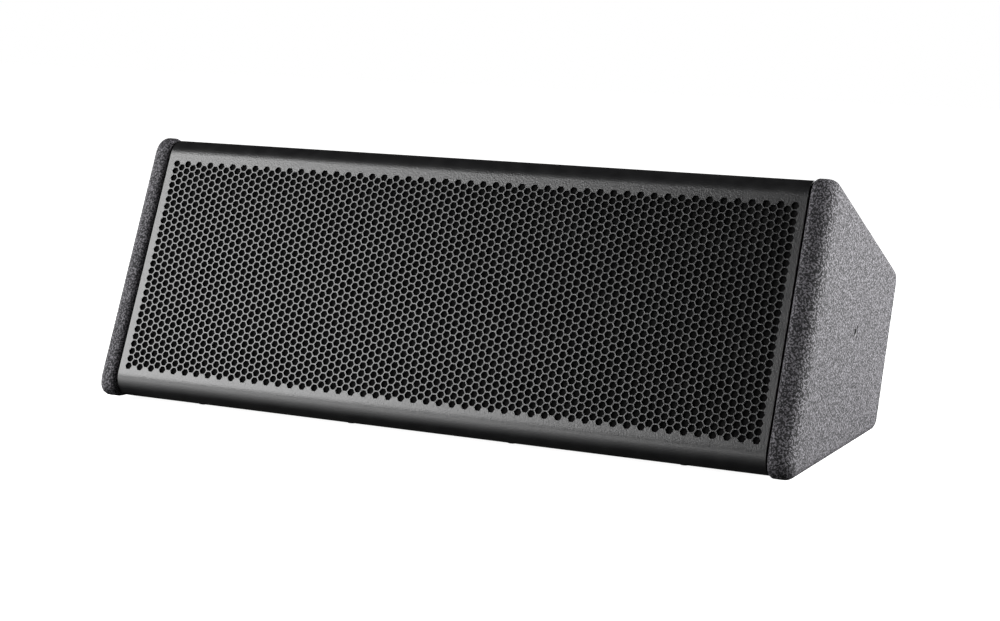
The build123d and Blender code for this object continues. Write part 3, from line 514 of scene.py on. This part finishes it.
def grille():
    bm = honeycomb()
    bmesh.ops.translate(bm, verts=bm.verts, vec=(0, MIDDLE_Y, FRONT))
    field_edge = [edge for edge in bm.edges if edge.is_boundary]
    half = grille_high.x
    top = grille_high.y - ROLL
    slope = atan2(backward.y, -backward.z)
    bottom = grille_low_roll_start(slope)
    corners = [bm.verts.new((x, y, FRONT)) for x, y in (
        (-half, bottom + GUARD), (half, bottom + GUARD), (half, top - GUARD), (-half, top - GUARD))]
    border = [bm.edges.new((corners[i], corners[(i + 1) % 4])) for i in range(4)]
    bmesh.ops.triangle_fill(bm, use_beauty=True, edges=field_edge + border, normal=(0, 0, 1))
    lower, upper = border[0], border[2]
    start = grown_edges(bm, [upper], (0, GUARD, 0))
    end = rolled_edge(bm, start, (0, top, FRONT - ROLL), -pi / 2)
    end = grown_edges(bm, end, (0, 0, -GUARD))
    grown_edges(bm, end, (0, 0, GUARD - RETURN))
    start = grown_edges(bm, [lower], (0, -GUARD, 0))
    end = rolled_edge(bm, start, (0, bottom, FRONT - ROLL), pi / 2 + slope)
    end = grown_edges(bm, end, backward * GUARD)
    grown_edges(bm, end, backward * (RETURN - GUARD))
    holes = [face for face in bm.faces if face.material_index == 1]
    bmesh.ops.delete(bm, geom=holes, context="FACES_ONLY")
    bmesh.ops.recalc_face_normals(bm, faces=bm.faces)
    if sum(face.normal.z for face in bm.faces) < 0:
        bmesh.ops.reverse_faces(bm, faces=bm.faces)
    bmesh.ops.solidify(bm, geom=bm.faces[:], thickness=SHEET)
    for face in bm.faces:
        face.material_index = 0
    finished(bm, "rolled_grille", GRILLE_COAT, "cabinet", ["grille"])


def grille_low_roll_start(slope):
    """Height where the front flat meets the lower roll."""
    reach = ROLL / sin(pi / 2 - slope) * (1 + cos(pi / 2 - slope))
    return lower_corner() + reach


def lower_corner():
    """Height where the base return's outer face would meet the front plane."""
    low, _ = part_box("grille")
    back = UNLEAN @ Vector((0, 0, low.z))
    return back.y + (back.z - FRONT) * backward.y / -backward.z


# ---- foam behind the grille ----
def foam_sheet():
    low, high = front_box("grille_foam")
    bm = bmesh.new()
    bmesh.ops.create_cube(bm, size=1)
    bmesh.ops.scale(bm, verts=bm.verts, vec=high - low)
    bmesh.ops.translate(bm, verts=bm.verts, vec=column(low, high))
    long_edges = [edge for edge in bm.edges if abs(edge.verts[0].co.z - edge.verts[1].co.z) < MM]
    bmesh.ops.subdivide_edges(bm, edges=long_edges, cuts=FOAM_CUTS, use_grid_fill=True)
    for vertex in bm.verts:
        if vertex.co.z > high.z - MM:
            lump = noise.noise(vertex.co * FOAM_LUMPS) + 0.5 * noise.noise(vertex.co * FOAM_CELLS)
            vertex.co.z -= (FOAM_SET + FOAM_RELIEF * lump) * MM
    piece = finished(bm, "acoustic_foam", FOAM_AND_HOLE_SHADE, "cabinet", ["grille_foam"])


# ---- side panels ----
def reach(points, direction):
    return max(point.dot(direction) for point in points)


def crossing(first, second, points):
    """Where two of the panel's straight edges meet, as (y, z)."""
    a, b = reach(points, first), reach(points, second)
    scale = first.y * second.z - first.z * second.y
    return Vector((0, (a * second.z - b * first.z) / scale, (b * first.y - a * second.y) / scale))


def rounded_outline(bm, corners, radii):
    """A flat face with each corner rounded to its own radius."""
    verts = [bm.verts.new(corner) for corner in corners]
    bm.faces.new(verts)
    for i, (vertex, radius) in enumerate(zip(verts, radii)):
        ahead = corners[(i + 1) % len(corners)] - corners[i]
        behind = corners[i - 1] - corners[i]
        run = radius / tan(ahead.angle(behind) / 2)
        bmesh.ops.bevel(bm, geom=[vertex], offset=run, affect="VERTICES", segments=CORNER_STEPS,
                        profile=0.5, material=-1)
    return bm.faces[:][0]


def inward(face, vertex):
    """Direction in a flat face from a vertex of its rim towards the inside."""
    rims = [edge for edge in vertex.link_edges if edge in face.edges]
    total = Vector()
    for edge in rims:
        along = (edge.verts[1].co - edge.verts[0].co).normalized()
        across = along.cross(face.normal)
        if across.dot(face.calc_center_median() - vertex.co) < 0:
            across.negate()
        total += across
    return total.normalized()


def pierced(bm, face, hole_edges, normal):
    """A flat face refilled round a closed loop of edges in its plane."""
    rim = list(face.edges)
    bmesh.ops.delete(bm, geom=[face], context="FACES_ONLY")
    bmesh.ops.triangle_fill(bm, use_beauty=True, edges=rim + hole_edges, normal=normal)


def circle_edges(bm, segments, radius, matrix):
    made = bmesh.ops.create_circle(bm, segments=segments, radius=radius)["verts"]
    bmesh.ops.transform(bm, matrix=matrix, verts=made)
    return list({edge for vertex in made for edge in vertex.link_edges})


def insert_place():
    low, high = front_box("right_threaded_insert")
    middle = column(low, high)
    return Vector((panel_high.x, middle.y, middle.z)), (high.y - low.y) / 2


def mirrored(bm, sign):
    """The left side's piece is the right one's mirror image."""
    if sign < 0:
        bmesh.ops.scale(bm, verts=bm.verts, vec=(-1, 1, 1))
        bmesh.ops.reverse_faces(bm, faces=bm.faces)


def side_panel_corners():
    """The outline's corners: front top, rear top, rear base, front base."""
    points = [UNLEAN @ vertex.co for vertex in frame["nodes"]["right_side_panel"].data.vertices]
    front, top = Vector((0, 0, 1)), Vector((0, 1, 0))
    rear = Vector((0, sin(REAR_TILT), -cos(REAR_TILT)))
    base = UNLEAN.to_3x3() @ Vector((0, 0, -1))
    walls = [front, top, rear, base]
    return [crossing(walls[i], walls[(i + 1) % 4], points) for i in range(4)]


def panel_rings():
    """Steps from the inner face over the edge to the outer face: place for a given outer round."""
    arc = [i / EDGE_STEPS * pi / 2 for i in range(EDGE_STEPS + 1)]
    for angle in arc[1::2]:
        yield lambda size, a=angle: (panel_low.x + INNER_ROUND * (1 - cos(a)),
                                     INNER_ROUND * (1 - sin(a)))
    for angle in arc:
        yield lambda size, a=angle: (panel_high.x - size * (1 - sin(a)), size * (1 - cos(a)))


def side_panel(side, sign):
    bm = bmesh.new()
    face = rounded_outline(bm, side_panel_corners(),
                           (FRONT_CORNER, REAR_CORNER, REAR_CORNER, FRONT_CORNER))
    bm.normal_update()
    start = bm.verts.layers.float_vector.new("start")
    inside = bm.verts.layers.float_vector.new("inside")
    size = bm.verts.layers.float.new("size")
    for vertex in bm.verts:
        vertex[start] = vertex.co
        vertex[inside] = inward(face, vertex)
        frontal = max(0, -vertex[inside].z)
        vertex[size] = EDGE_ROUND + (FRONT_ROUND - EDGE_ROUND) * frontal
    for vertex in bm.verts:
        vertex.co += vertex[inside] * INNER_ROUND + Vector((panel_low.x, 0, 0))
    for number, ring in enumerate(panel_rings()):
        grown = bmesh.ops.extrude_face_region(bm, geom=[face])["geom"]
        if number:
            bmesh.ops.delete(bm, geom=[face], context="FACES_ONLY")
        face = next(g for g in grown if isinstance(g, bmesh.types.BMFace))
        for vertex in face.verts:
            x, depth = ring(vertex[size])
            vertex.co = vertex[start] + vertex[inside] * depth + Vector((x, 0, 0))
    middle, radius = insert_place()
    turn = Matrix.Translation(middle) @ Matrix.Rotation(pi / 2, 4, "Y")
    hole = circle_edges(bm, BORE_SEGMENTS, radius, turn)
    pierced(bm, face, hole, (1, 0, 0))
    floor_edges = grown_edges(bm, hole, (-INSERT_HOLE, 0, 0))
    bmesh.ops.edgeloop_fill(bm, edges=[e for e in floor_edges if len(e.link_faces) == 1])
    bmesh.ops.recalc_face_normals(bm, faces=bm.faces)
    mirrored(bm, sign)
    name = side + "_side_panel"
    piece = finished(bm, "painted_" + name, SIDE_PAINT, "cabinet", [name])
    even_normals(piece)


def turned(bm, profile, matrix, segments=32):
    """A profile of (radius, height) turned about the z axis, then moved into place."""
    verts = [bm.verts.new((radius, 0, height)) for radius, height in profile]
    edges = [bm.edges.new(pair) for pair in zip(verts, verts[1:])]
    before = set(bm.verts) - set(verts)
    bmesh.ops.spin(bm, geom=verts + edges, cent=(0, 0, 0), axis=(0, 0, 1), angle=2 * pi,
                   steps=segments, use_merge=True)
    made = [vertex for vertex in bm.verts if vertex not in before]
    bmesh.ops.remove_doubles(bm, verts=made, dist=TURN_WELD)
    made = [vertex for vertex in bm.verts if vertex not in before]
    bmesh.ops.transform(bm, matrix=matrix, verts=made)


def threaded_insert(side, sign):
    """Over-painted at its face, with a thread in the bore."""
    middle, radius = insert_place()
    bm = bmesh.new()
    thread = [(THREAD_MINOR + (THREAD_DEPTH if i % 2 else 0), -INSERT_LIP - i * THREAD_PITCH / 2)
              for i in range(1, int((INSERT_HOLE - 2 * INSERT_LIP) / THREAD_PITCH * 2))]
    bottom, outer = -INSERT_HOLE + INSERT_LIP, radius - INSERT_PLAY
    turned(bm, [(0, bottom), (THREAD_MINOR, bottom), *reversed(thread),
                (THREAD_MINOR, -INSERT_LIP), (THREAD_MINOR, -2 * INSERT_SET),
                (THREAD_MINOR + INSERT_SET, -INSERT_SET), (radius - INSERT_SET, -INSERT_SET),
                (outer, -2 * INSERT_SET), (outer, bottom), (0, bottom)],
           Matrix.Translation(middle) @ Matrix.Rotation(pi / 2, 4, "Y"))
    bmesh.ops.recalc_face_normals(bm, faces=bm.faces)
    mirrored(bm, sign)
    bare = THREAD_MINOR + 1.1 * THREAD_DEPTH
    for face in bm.faces:
        inner = max((v.co.yz - middle.yz).length for v in face.verts) < bare
        face.material_index = int(inner)
    name = side + "_threaded_insert"
    piece = finished(bm, "painted_" + name, SIDE_PAINT, "cabinet", [name])
    piece.data.materials.append(FINISHES["insert_steel"])


def even_normals(piece):
    """Flat faces stay flat in shading beside their rounded edges."""
    made = piece.modifiers.new("normals", "WEIGHTED_NORMAL")
    made.keep_sharp = True


# ---- screws, feet and sockets ----
def loose_parts(node_name):
    """The points of each loose part of a CAD node."""
    bm = joined([frame["nodes"][node_name].data])
    bmesh.ops.remove_doubles(bm, verts=bm.verts, dist=PART_WELD)
    bm.verts.index_update()
    seen, parts = set(), []
    for first in bm.verts:
        if first.index in seen:
            continue
        seen.add(first.index)
        waiting, points = [first], []
        while waiting:
            vertex = waiting.pop()
            points.append(vertex.co.copy())
            for edge in vertex.link_edges:
                other = edge.other_vert(vertex)
                if other.index not in seen:
                    seen.add(other.index)
                    waiting.append(other)
        parts.append(points)
    bm.free()
    return parts


def measured(points, way):
    """A round part's axis foot, and each point's height along the axis and radius."""
    middle = sum(points, Vector()) / len(points)
    middle -= way * middle.dot(way)
    return middle, [(p.dot(way), (p - way * p.dot(way) - middle).length) for p in points]


def standing(middle, way, height):
    """Matrix that stands a piece's z axis along way, at a height on its axis."""
    turn = way.to_track_quat("Z", "Y").to_matrix().to_4x4()
    return Matrix.Translation(middle + way * height) @ turn


def cross_screw(points, way):
    """Pan head with a cross recess on a pointed shank, the size of the CAD screw."""
    middle, spots = measured(points, way)
    top, tip = max(spots)[0], min(spots)[0] - max(spots)[0]
    head, shank = max(radius for _, radius in spots), min(radius for _, radius in spots)
    under = min(height for height, radius in spots if radius > 0.98 * head) - top
    bm = bmesh.new()
    crown = [(share * head, part * under) for share, part in SCREW_CROWN]
    turned(bm, [(0, tip), (0.5 * shank, tip), (shank, tip + shank), (shank, under), (head, under),
                *crown], Matrix.Identity(4), segments=24)
    rim = [edge for edge in bm.edges if edge.is_boundary]
    arm, half = CROSS_ARM * head, CROSS_HALF * head
    corners = [Matrix.Rotation(k * pi / 2, 4, "Z") @ Vector(spot)
               for k in range(4) for spot in ((arm, -half, 0), (arm, half, 0), (half, half, 0))]
    verts = [bm.verts.new(corner) for corner in corners]
    cross = [bm.edges.new((verts[i - 1], verts[i])) for i in range(len(verts))]
    bmesh.ops.triangle_fill(bm, use_beauty=True, edges=rim + cross, normal=(0, 0, 1))
    floor_edges = grown_edges(bm, cross, (0, 0, CROSS_DEPTH * under))
    bmesh.ops.scale(bm, verts=list({v for e in floor_edges for v in e.verts}),
                    vec=(CROSS_TAPER, CROSS_TAPER, 1))
    bmesh.ops.contextual_create(bm, geom=floor_edges)
    bmesh.ops.recalc_face_normals(bm, faces=bm.faces)
    bmesh.ops.transform(bm, matrix=standing(middle, way, top), verts=bm.verts)
    return mesh_from(bm, "screw")


def cross_screws(node_name, way=None):
    """way is where the heads face; without it they face up or down, whichever is nearer."""
    meshes = []
    for points in loose_parts(node_name):
        upper = points[0].z > (cad_box[0].z + cad_box[1].z) / 2
        meshes.append(cross_screw(points, way or (TOP if upper else DOWN)))
    slot = SLOTS[node_name]
    finished(joined(meshes), "cross_head_" + node_name, FINISHES[slot], "cabinet", [node_name],
             lean=False)


def rubber_foot(points):
    middle, spots = measured(points, DOWN)
    top, root = max(spots)[0], min(spots)[0] - max(spots)[0]
    outer, bore = max(radius for _, radius in spots), min(radius for _, radius in spots)
    well = min(radius for height, radius in spots if height > top - NEAR)
    seat = min(height for height, radius in spots if abs(radius - well) < NEAR / 2) - top
    lip = [(outer - FOOT_EDGE * (1 - cos(a)), -FOOT_EDGE * (1 - sin(a)))
           for a in (i / FOOT_STEPS * pi / 2 for i in range(FOOT_STEPS + 1))]
    bm = bmesh.new()
    turned(bm, [(bore, root), (outer, root), *lip, (well + PLASTIC_EDGE, 0), (well, -PLASTIC_EDGE),
                (well, seat), (bore, seat), (bore, root)], standing(middle, DOWN, top), segments=40)
    bmesh.ops.recalc_face_normals(bm, faces=bm.faces)
    return mesh_from(bm, "foot")


def rubber_feet():
    meshes = [rubber_foot(points) for points in loose_parts("rubber_feet")]
    finished(joined(meshes), "round_rubber_feet", FINISHES["foot_rubber"], "cabinet",
             ["rubber_feet"], lean=False)


def locking_socket(node_name):
    """Four-pole locking socket: eased flange, keyed bore, core and four contacts."""
    turn = REAR.to_track_quat("Z", "Y").to_matrix().to_4x4()
    points = [turn.inverted() @ v.co for v in frame["nodes"][node_name].data.vertices]
    low, high = Vector(map(min, zip(*points))), Vector(map(max, zip(*points)))
    middle, top = column(low, high), high.z
    half_x, half_y = (high.x - low.x) / 2, (high.y - low.y) / 2
    back, floor_level = -SOCKET_FLANGE, -SOCKET_DEPTH
    bm = bmesh.new()
    corners = [Vector((sx * half_x, sy * half_y, back))
               for sx, sy in ((-1, -1), (1, -1), (1, 1), (-1, 1))]
    under = rounded_outline(bm, corners, [SOCKET_CORNER] * 4)
    grown = bmesh.ops.extrude_face_region(bm, geom=[under])["geom"]
    face = next(g for g in grown if isinstance(g, bmesh.types.BMFace))
    bmesh.ops.translate(bm, verts=face.verts[:], vec=(0, 0, SOCKET_FLANGE))
    bmesh.ops.bevel(bm, geom=list(face.edges), offset=PLASTIC_EDGE, affect="EDGES", segments=3,
                    profile=0.5, material=-1)
    bm.normal_update()
    flats = sorted(bm.faces, key=lambda f: f.calc_area())[-2:]
    front = max(flats, key=lambda f: f.calc_center_median().z)
    rear = min(flats, key=lambda f: f.calc_center_median().z)
    pierced(bm, front, circle_edges(bm, BORE_SEGMENTS, SOCKET_BORE, Matrix.Identity(4)), (0, 0, 1))
    behind = Matrix.Translation((0, 0, back))
    pierced(bm, rear, circle_edges(bm, BORE_SEGMENTS, SOCKET_BODY, behind), (0, 0, -1))
    place = Matrix.Identity(4)
    turned(bm, [(SOCKET_BORE, 0), (SOCKET_BORE, floor_level), (SOCKET_CORE, floor_level),
                (SOCKET_CORE, -CORE_SET - PLASTIC_EDGE), (SOCKET_CORE - PLASTIC_EDGE, -CORE_SET),
                (0, -CORE_SET)], place, segments=BORE_SEGMENTS)
    turned(bm, [(SOCKET_BODY, back), (SOCKET_BODY, low.z - top), (0, low.z - top)], place,
           segments=BORE_SEGMENTS)
    bmesh.ops.remove_doubles(bm, verts=bm.verts, dist=SOCKET_WELD)
    for vertex in bm.verts:
        flat = vertex.co.xy
        angle = atan2(flat.y, flat.x) % (2 * pi / KEYWAYS)
        if abs(flat.length - SOCKET_BORE) < NEAR and abs(angle - pi / KEYWAYS) < KEYWAY_ANGLE:
            vertex.co.xy = flat * (KEYWAY / SOCKET_BORE)
    bmesh.ops.recalc_face_normals(bm, faces=bm.faces)
    for k in range(POLES):
        spot = Matrix.Rotation(pi / 4 + k * pi / 2, 4, "Z") @ Matrix.Translation(
            (CONTACT_RING, 0, floor_level * CONTACT_DEPTH))
        size = Matrix.Diagonal((*CONTACT_SIZE, 1))
        blade = bmesh.ops.create_cube(bm, size=1, matrix=spot @ size)["verts"]
        for face in {face for vertex in blade for face in vertex.link_faces}:
            face.material_index = 1
    move = turn @ Matrix.Translation((middle.x, middle.y, top))
    bmesh.ops.transform(bm, matrix=move, verts=bm.verts)
    slot = SLOTS[node_name]
    piece = finished(bm, "keyed_" + node_name, FINISHES[slot], "cabinet", [node_name],
                     lean=False)
    piece.data.materials.append(FINISHES["plated_steel"])


# ---- soft parts inside ----
def wadding():
    """Loose wadding: soft rounded pads with a fleecy surface."""
    for number, points in enumerate(loose_parts("damping_pads")):
        bm = bmesh.new()
        for point in points:
            bm.verts.new(point)
        bmesh.ops.convex_hull(bm, input=bm.verts)
        block = bpy.data.objects.new("block", mesh_from(bm, "block"))
        bpy.context.scene.collection.objects.link(block)
        remesh = block.modifiers.new("voxels", "REMESH")
        remesh.voxel_size = VOXEL
        graph = bpy.context.evaluated_depsgraph_get()
        mesh = bpy.data.meshes.new_from_object(block.evaluated_get(graph))
        bpy.data.objects.remove(block)
        bm = joined([mesh])
        for _ in range(SMOOTH_PASSES):
            bmesh.ops.smooth_vert(bm, verts=bm.verts, factor=0.5, use_axis_x=True, use_axis_y=True,
                                  use_axis_z=True)
        bmesh.ops.subdivide_edges(bm, edges=bm.edges, cuts=1, use_grid_fill=True)
        bm.normal_update()
        for vertex in bm.verts:
            fleece = (noise.noise(vertex.co * FLEECE_LUMPS)
                      + 0.4 * noise.noise(vertex.co * FLEECE_FIBRES))
            vertex.co += vertex.normal * (FLEECE_RELIEF * fleece - FLEECE_SET) * MM
        piece = finished(bm, "wadding_%d" % (number + 1), FINISHES["wadding"], "cabinet",
                         ["damping_pads"], sharp=80, lean=False)


def soft_ring(name, node_name, outline, sectors, finish):
    """A ring of closed sectors, each reaching from the moving body to the cabinet."""
    low, high = front_box(node_name)
    middle = Vector((column(low, high).x, column(low, high).y, low.z))
    step = 2 * pi / sectors
    for k in range(sectors):
        bm = bmesh.new()
        face = bm.faces.new([bm.verts.new((radius, 0, height)) for radius, height in outline])
        bmesh.ops.rotate(bm, verts=bm.verts, cent=(0, 0, 0),
                         matrix=Matrix.Rotation(k * step - step / 2, 3, "Z"))
        bmesh.ops.spin(bm, geom=[*face.verts, *face.edges, face], cent=(0, 0, 0), axis=(0, 0, 1),
                       angle=step, steps=SECTOR_STEPS)
        bmesh.ops.recalc_face_normals(bm, faces=bm.faces)
        bmesh.ops.translate(bm, verts=bm.verts, vec=middle)
        piece = finished(bm, "%s_%d" % (name, k + 1), FINISHES[finish], None, [node_name])
        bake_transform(piece)


def arc(middle, height, radius, steps=8):
    """Half circle from its outer to its inner end, bulging forwards."""
    return [(middle + radius * cos(a), height + radius * sin(a))
            for a in (i / steps * pi for i in range(steps + 1))]


def surround_outline():
    middle, radius = (ROLL_START + ROLL_END) / 2, (ROLL_END - ROLL_START) / 2
    low, high = SURROUND_LIFT, SURROUND_LIFT + SURROUND_WALL
    under = reversed(arc(middle, low, radius - SURROUND_WALL))
    return [(CONE_MOUTH, high), (CONE_MOUTH, low), *under, (RIM_START, 0),
            (SURROUND_OUTER, 0), (SURROUND_OUTER, high), *arc(middle, high, radius)]


def spider_outline():
    count = WAVE_STEPS * SPIDER_WAVES
    wave = [(SPIDER_INNER + i / count * (SPIDER_FREE - SPIDER_INNER),
             SPIDER_RISE * (1 - cos(i / count * 2 * pi * SPIDER_WAVES))) for i in range(count + 1)]
    lower = [*wave, (SPIDER_OUTER, 0)]
    return [*lower, *((radius, height + SPIDER_WALL) for radius, height in reversed(lower))]


def suspension_outline():
    low, high = front_box("tweeter_suspension")
    wall, middle = high.z - low.z, (DOME_EDGE + DOME_FREE) / 2
    under = [(r, -h) for r, h in reversed(arc(middle, 0, DOME_ROLL))]
    over = [(r, wall - h) for r, h in arc(middle, 0, DOME_ROLL - wall)]
    return [(DOME_EDGE, wall), (DOME_EDGE, 0), *under, (DOME_OUTER, 0), (DOME_OUTER, wall),
            *over]


def soft_rings():
    for side in ("left", "right"):
        soft_ring(side + "_rubber_surround", side + "_woofer_surround", surround_outline(),
                  SURROUND_SECTORS, "surround_rubber")
        soft_ring(side + "_cloth_spider", side + "_woofer_spider", spider_outline(),
                  SPIDER_SECTORS, "spider_cloth")
    soft_ring("dome_suspension", "tweeter_suspension", suspension_outline(),
              SPIDER_SECTORS, SLOTS["tweeter_suspension"])


dress_cad_nodes()
grille()
foam_sheet()
for side, sign in (("left", -1), ("right", 1)):
    side_panel(side, sign)
    threaded_insert(side, sign)
cross_screws("grille_screws")
cross_screws("foot_screws", DOWN)
for node_name, way in (("input_plate_screws", REAR), ("socket_screws", REAR),
                       ("woofer_screws", outward), ("horn_screws", outward)):
    cross_screws(node_name, way)
rubber_feet()
for node_name in ("input_socket", "link_socket"):
    locking_socket(node_name)
wadding()
soft_rings()


# ---- floor, lights and camera ----
# painted reflection: the floor glows for reflected rays only, with painted shade close beneath the
# object
FLOOR_SHINE = [(0.0, 0.0), (0.05, 0.4), (0.14, 0.55), (0.45, 1.0)]     # by distance, in metres
SHINE_ACROSS = [(0.2, 1.0), (0.5, 0.85), (0.75, 0.2)]                  # by x, from -0.5 to 0.5 m
SHINE_LEVEL = 9.0
AIM = Vector((0, 0, 0.1))                # what the lights circle
FLOOR_SIZE = 30                          # half its width, in metres
FLOOR_SHADE = [(0.0, 0.06), (1.0, 0.8)]  # for other rays, and for the camera's
FLOOR_GLOW = {"From Min": 0.4, "From Max": 1.2, "To Min": 0.95, "To Max": 1.1}   # by distance


def painted_floor_reflection(tree, place):
    """Glow that only reflections of the floor see, a painted reflection of a lit floor: painted
    shade beneath the object, painted light further out, weaker to the right.
    """
    away = node(tree, "VectorMath", {0: place}, operation="ABSOLUTE").outputs["Vector"]
    half = (cad_box[1] - cad_box[0]) / 2
    past = node(tree, "VectorMath", {0: away, 1: (half.x, half.y, 1)}, operation="SUBTRACT")
    past = node(tree, "VectorMath", {0: past.outputs["Vector"], 1: (0, 0, 0)}, operation="MAXIMUM")
    run = node(tree, "VectorMath", {0: past.outputs["Vector"]}, operation="LENGTH")
    x = node(tree, "SeparateXYZ", {0: place}).outputs["X"]
    across = ramp(tree, math_node(tree, "ADD", x, 0.5), SHINE_ACROSS)
    shine = math_node(tree, "MULTIPLY", ramp(tree, run.outputs["Value"], FLOOR_SHINE), across)
    return math_node(tree, "MULTIPLY", shine, SHINE_LEVEL)


def floor():
    bm = bmesh.new()
    bmesh.ops.create_grid(bm, x_segments=1, y_segments=1, size=FLOOR_SIZE)
    made, tree, shader = material("floor", {"Roughness": 0.9, "Specular IOR Level": 0.2,
                                            "Emission Color": (1, 1, 1, 1)})
    rays = node(tree, "LightPath").outputs
    shade = ramp(tree, rays["Is Camera Ray"], FLOOR_SHADE)
    tree.links.new(shade, shader["Base Color"])
    place = node(tree, "TexCoord").outputs["Object"]
    far = node(tree, "VectorMath", {0: place}, operation="LENGTH").outputs["Value"]
    glow = node(tree, "MapRange", {"Value": far, **FLOOR_GLOW})
    level = math_node(tree, "MULTIPLY", glow.outputs["Result"], rays["Is Camera Ray"])
    # the floor glows for reflected rays only: painted reflection
    shine = math_node(tree, "MULTIPLY", painted_floor_reflection(tree, place), rays["Is Glossy Ray"])
    level = math_node(tree, "ADD", level, shine)
    tree.links.new(level, shader["Emission Strength"])
    sheet = bpy.data.objects.new("floor", mesh_from(bm, "floor"))
    bpy.context.scene.collection.objects.link(sheet)
    sheet.data.materials.append(made)


def softbox(name, place, target, width, height, power):
    lamp = bpy.data.lights.new(name, "AREA")
    lamp.shape = "RECTANGLE"
    lamp.size, lamp.size_y, lamp.energy = width, height, power
    made = bpy.data.objects.new(name, lamp)
    bpy.context.scene.collection.objects.link(made)
    made.location = place
    made.rotation_euler = (Vector(target) - Vector(place)).to_track_quat("-Z", "Y").to_euler()


def around(azimuth, elevation, distance):
    """A place round the object: azimuth 0 is in front, positive to the right."""
    a, e = radians(azimuth), radians(elevation)
    return Vector((sin(a) * cos(e), -cos(a) * cos(e), sin(e))) * distance + AIM


def world(seen, fill, gloss):
    """Even surroundings: as the camera sees them, as they light, and as they are mirrored."""
    made = bpy.data.worlds.new("studio")
    made.use_nodes = True
    tree = made.node_tree
    rays = node(tree, "LightPath").outputs
    level = node(tree, "MapRange", {"Value": rays["Is Camera Ray"], "To Min": fill, "To Max": seen})
    shine = math_node(tree, "MULTIPLY", rays["Is Glossy Ray"], fill - gloss)
    level = math_node(tree, "SUBTRACT", level.outputs["Result"], shine)
    tree.links.new(level, tree.nodes["Background"].inputs["Strength"])
    tree.nodes["Background"].inputs["Color"].default_value = (1, 1, 1, 1)
    bpy.context.scene.world = made


CAMERA_PLACE = Vector((620.386, -321.268, 1257.468)) * MM     # from the grille's middle
CAMERA_RIGHT = Vector((0.910696, 0.189562, -0.367013))
CAMERA_UP = Vector((-0.087953, 0.957097, 0.276098))
CAMERA_LENS = 70.09


def camera():
    lens = bpy.data.cameras.new("camera")
    lens.lens, lens.sensor_width = CAMERA_LENS, 36
    made = bpy.data.objects.new("camera", lens)
    bpy.context.scene.collection.objects.link(made)
    turn = Matrix((CAMERA_RIGHT, CAMERA_UP, CAMERA_RIGHT.cross(CAMERA_UP))).transposed().to_4x4()
    place = Matrix.Translation(Vector((0, MIDDLE_Y, FRONT)) + CAMERA_PLACE)
    made.matrix_world = LEAN @ place @ turn
    bpy.context.scene.camera = made


floor()
world(seen=1.0, fill=0.05, gloss=0.02)
softbox("key_left", around(-46, 21, 3.0), AIM, width=2.4, height=1.6, power=146)
softbox("side_right", around(115, 14, 1.4), (0.28, 0, 0.1), width=1.1, height=0.8, power=59)
camera()
bpy.context.scene.view_settings.view_transform = "Standard"
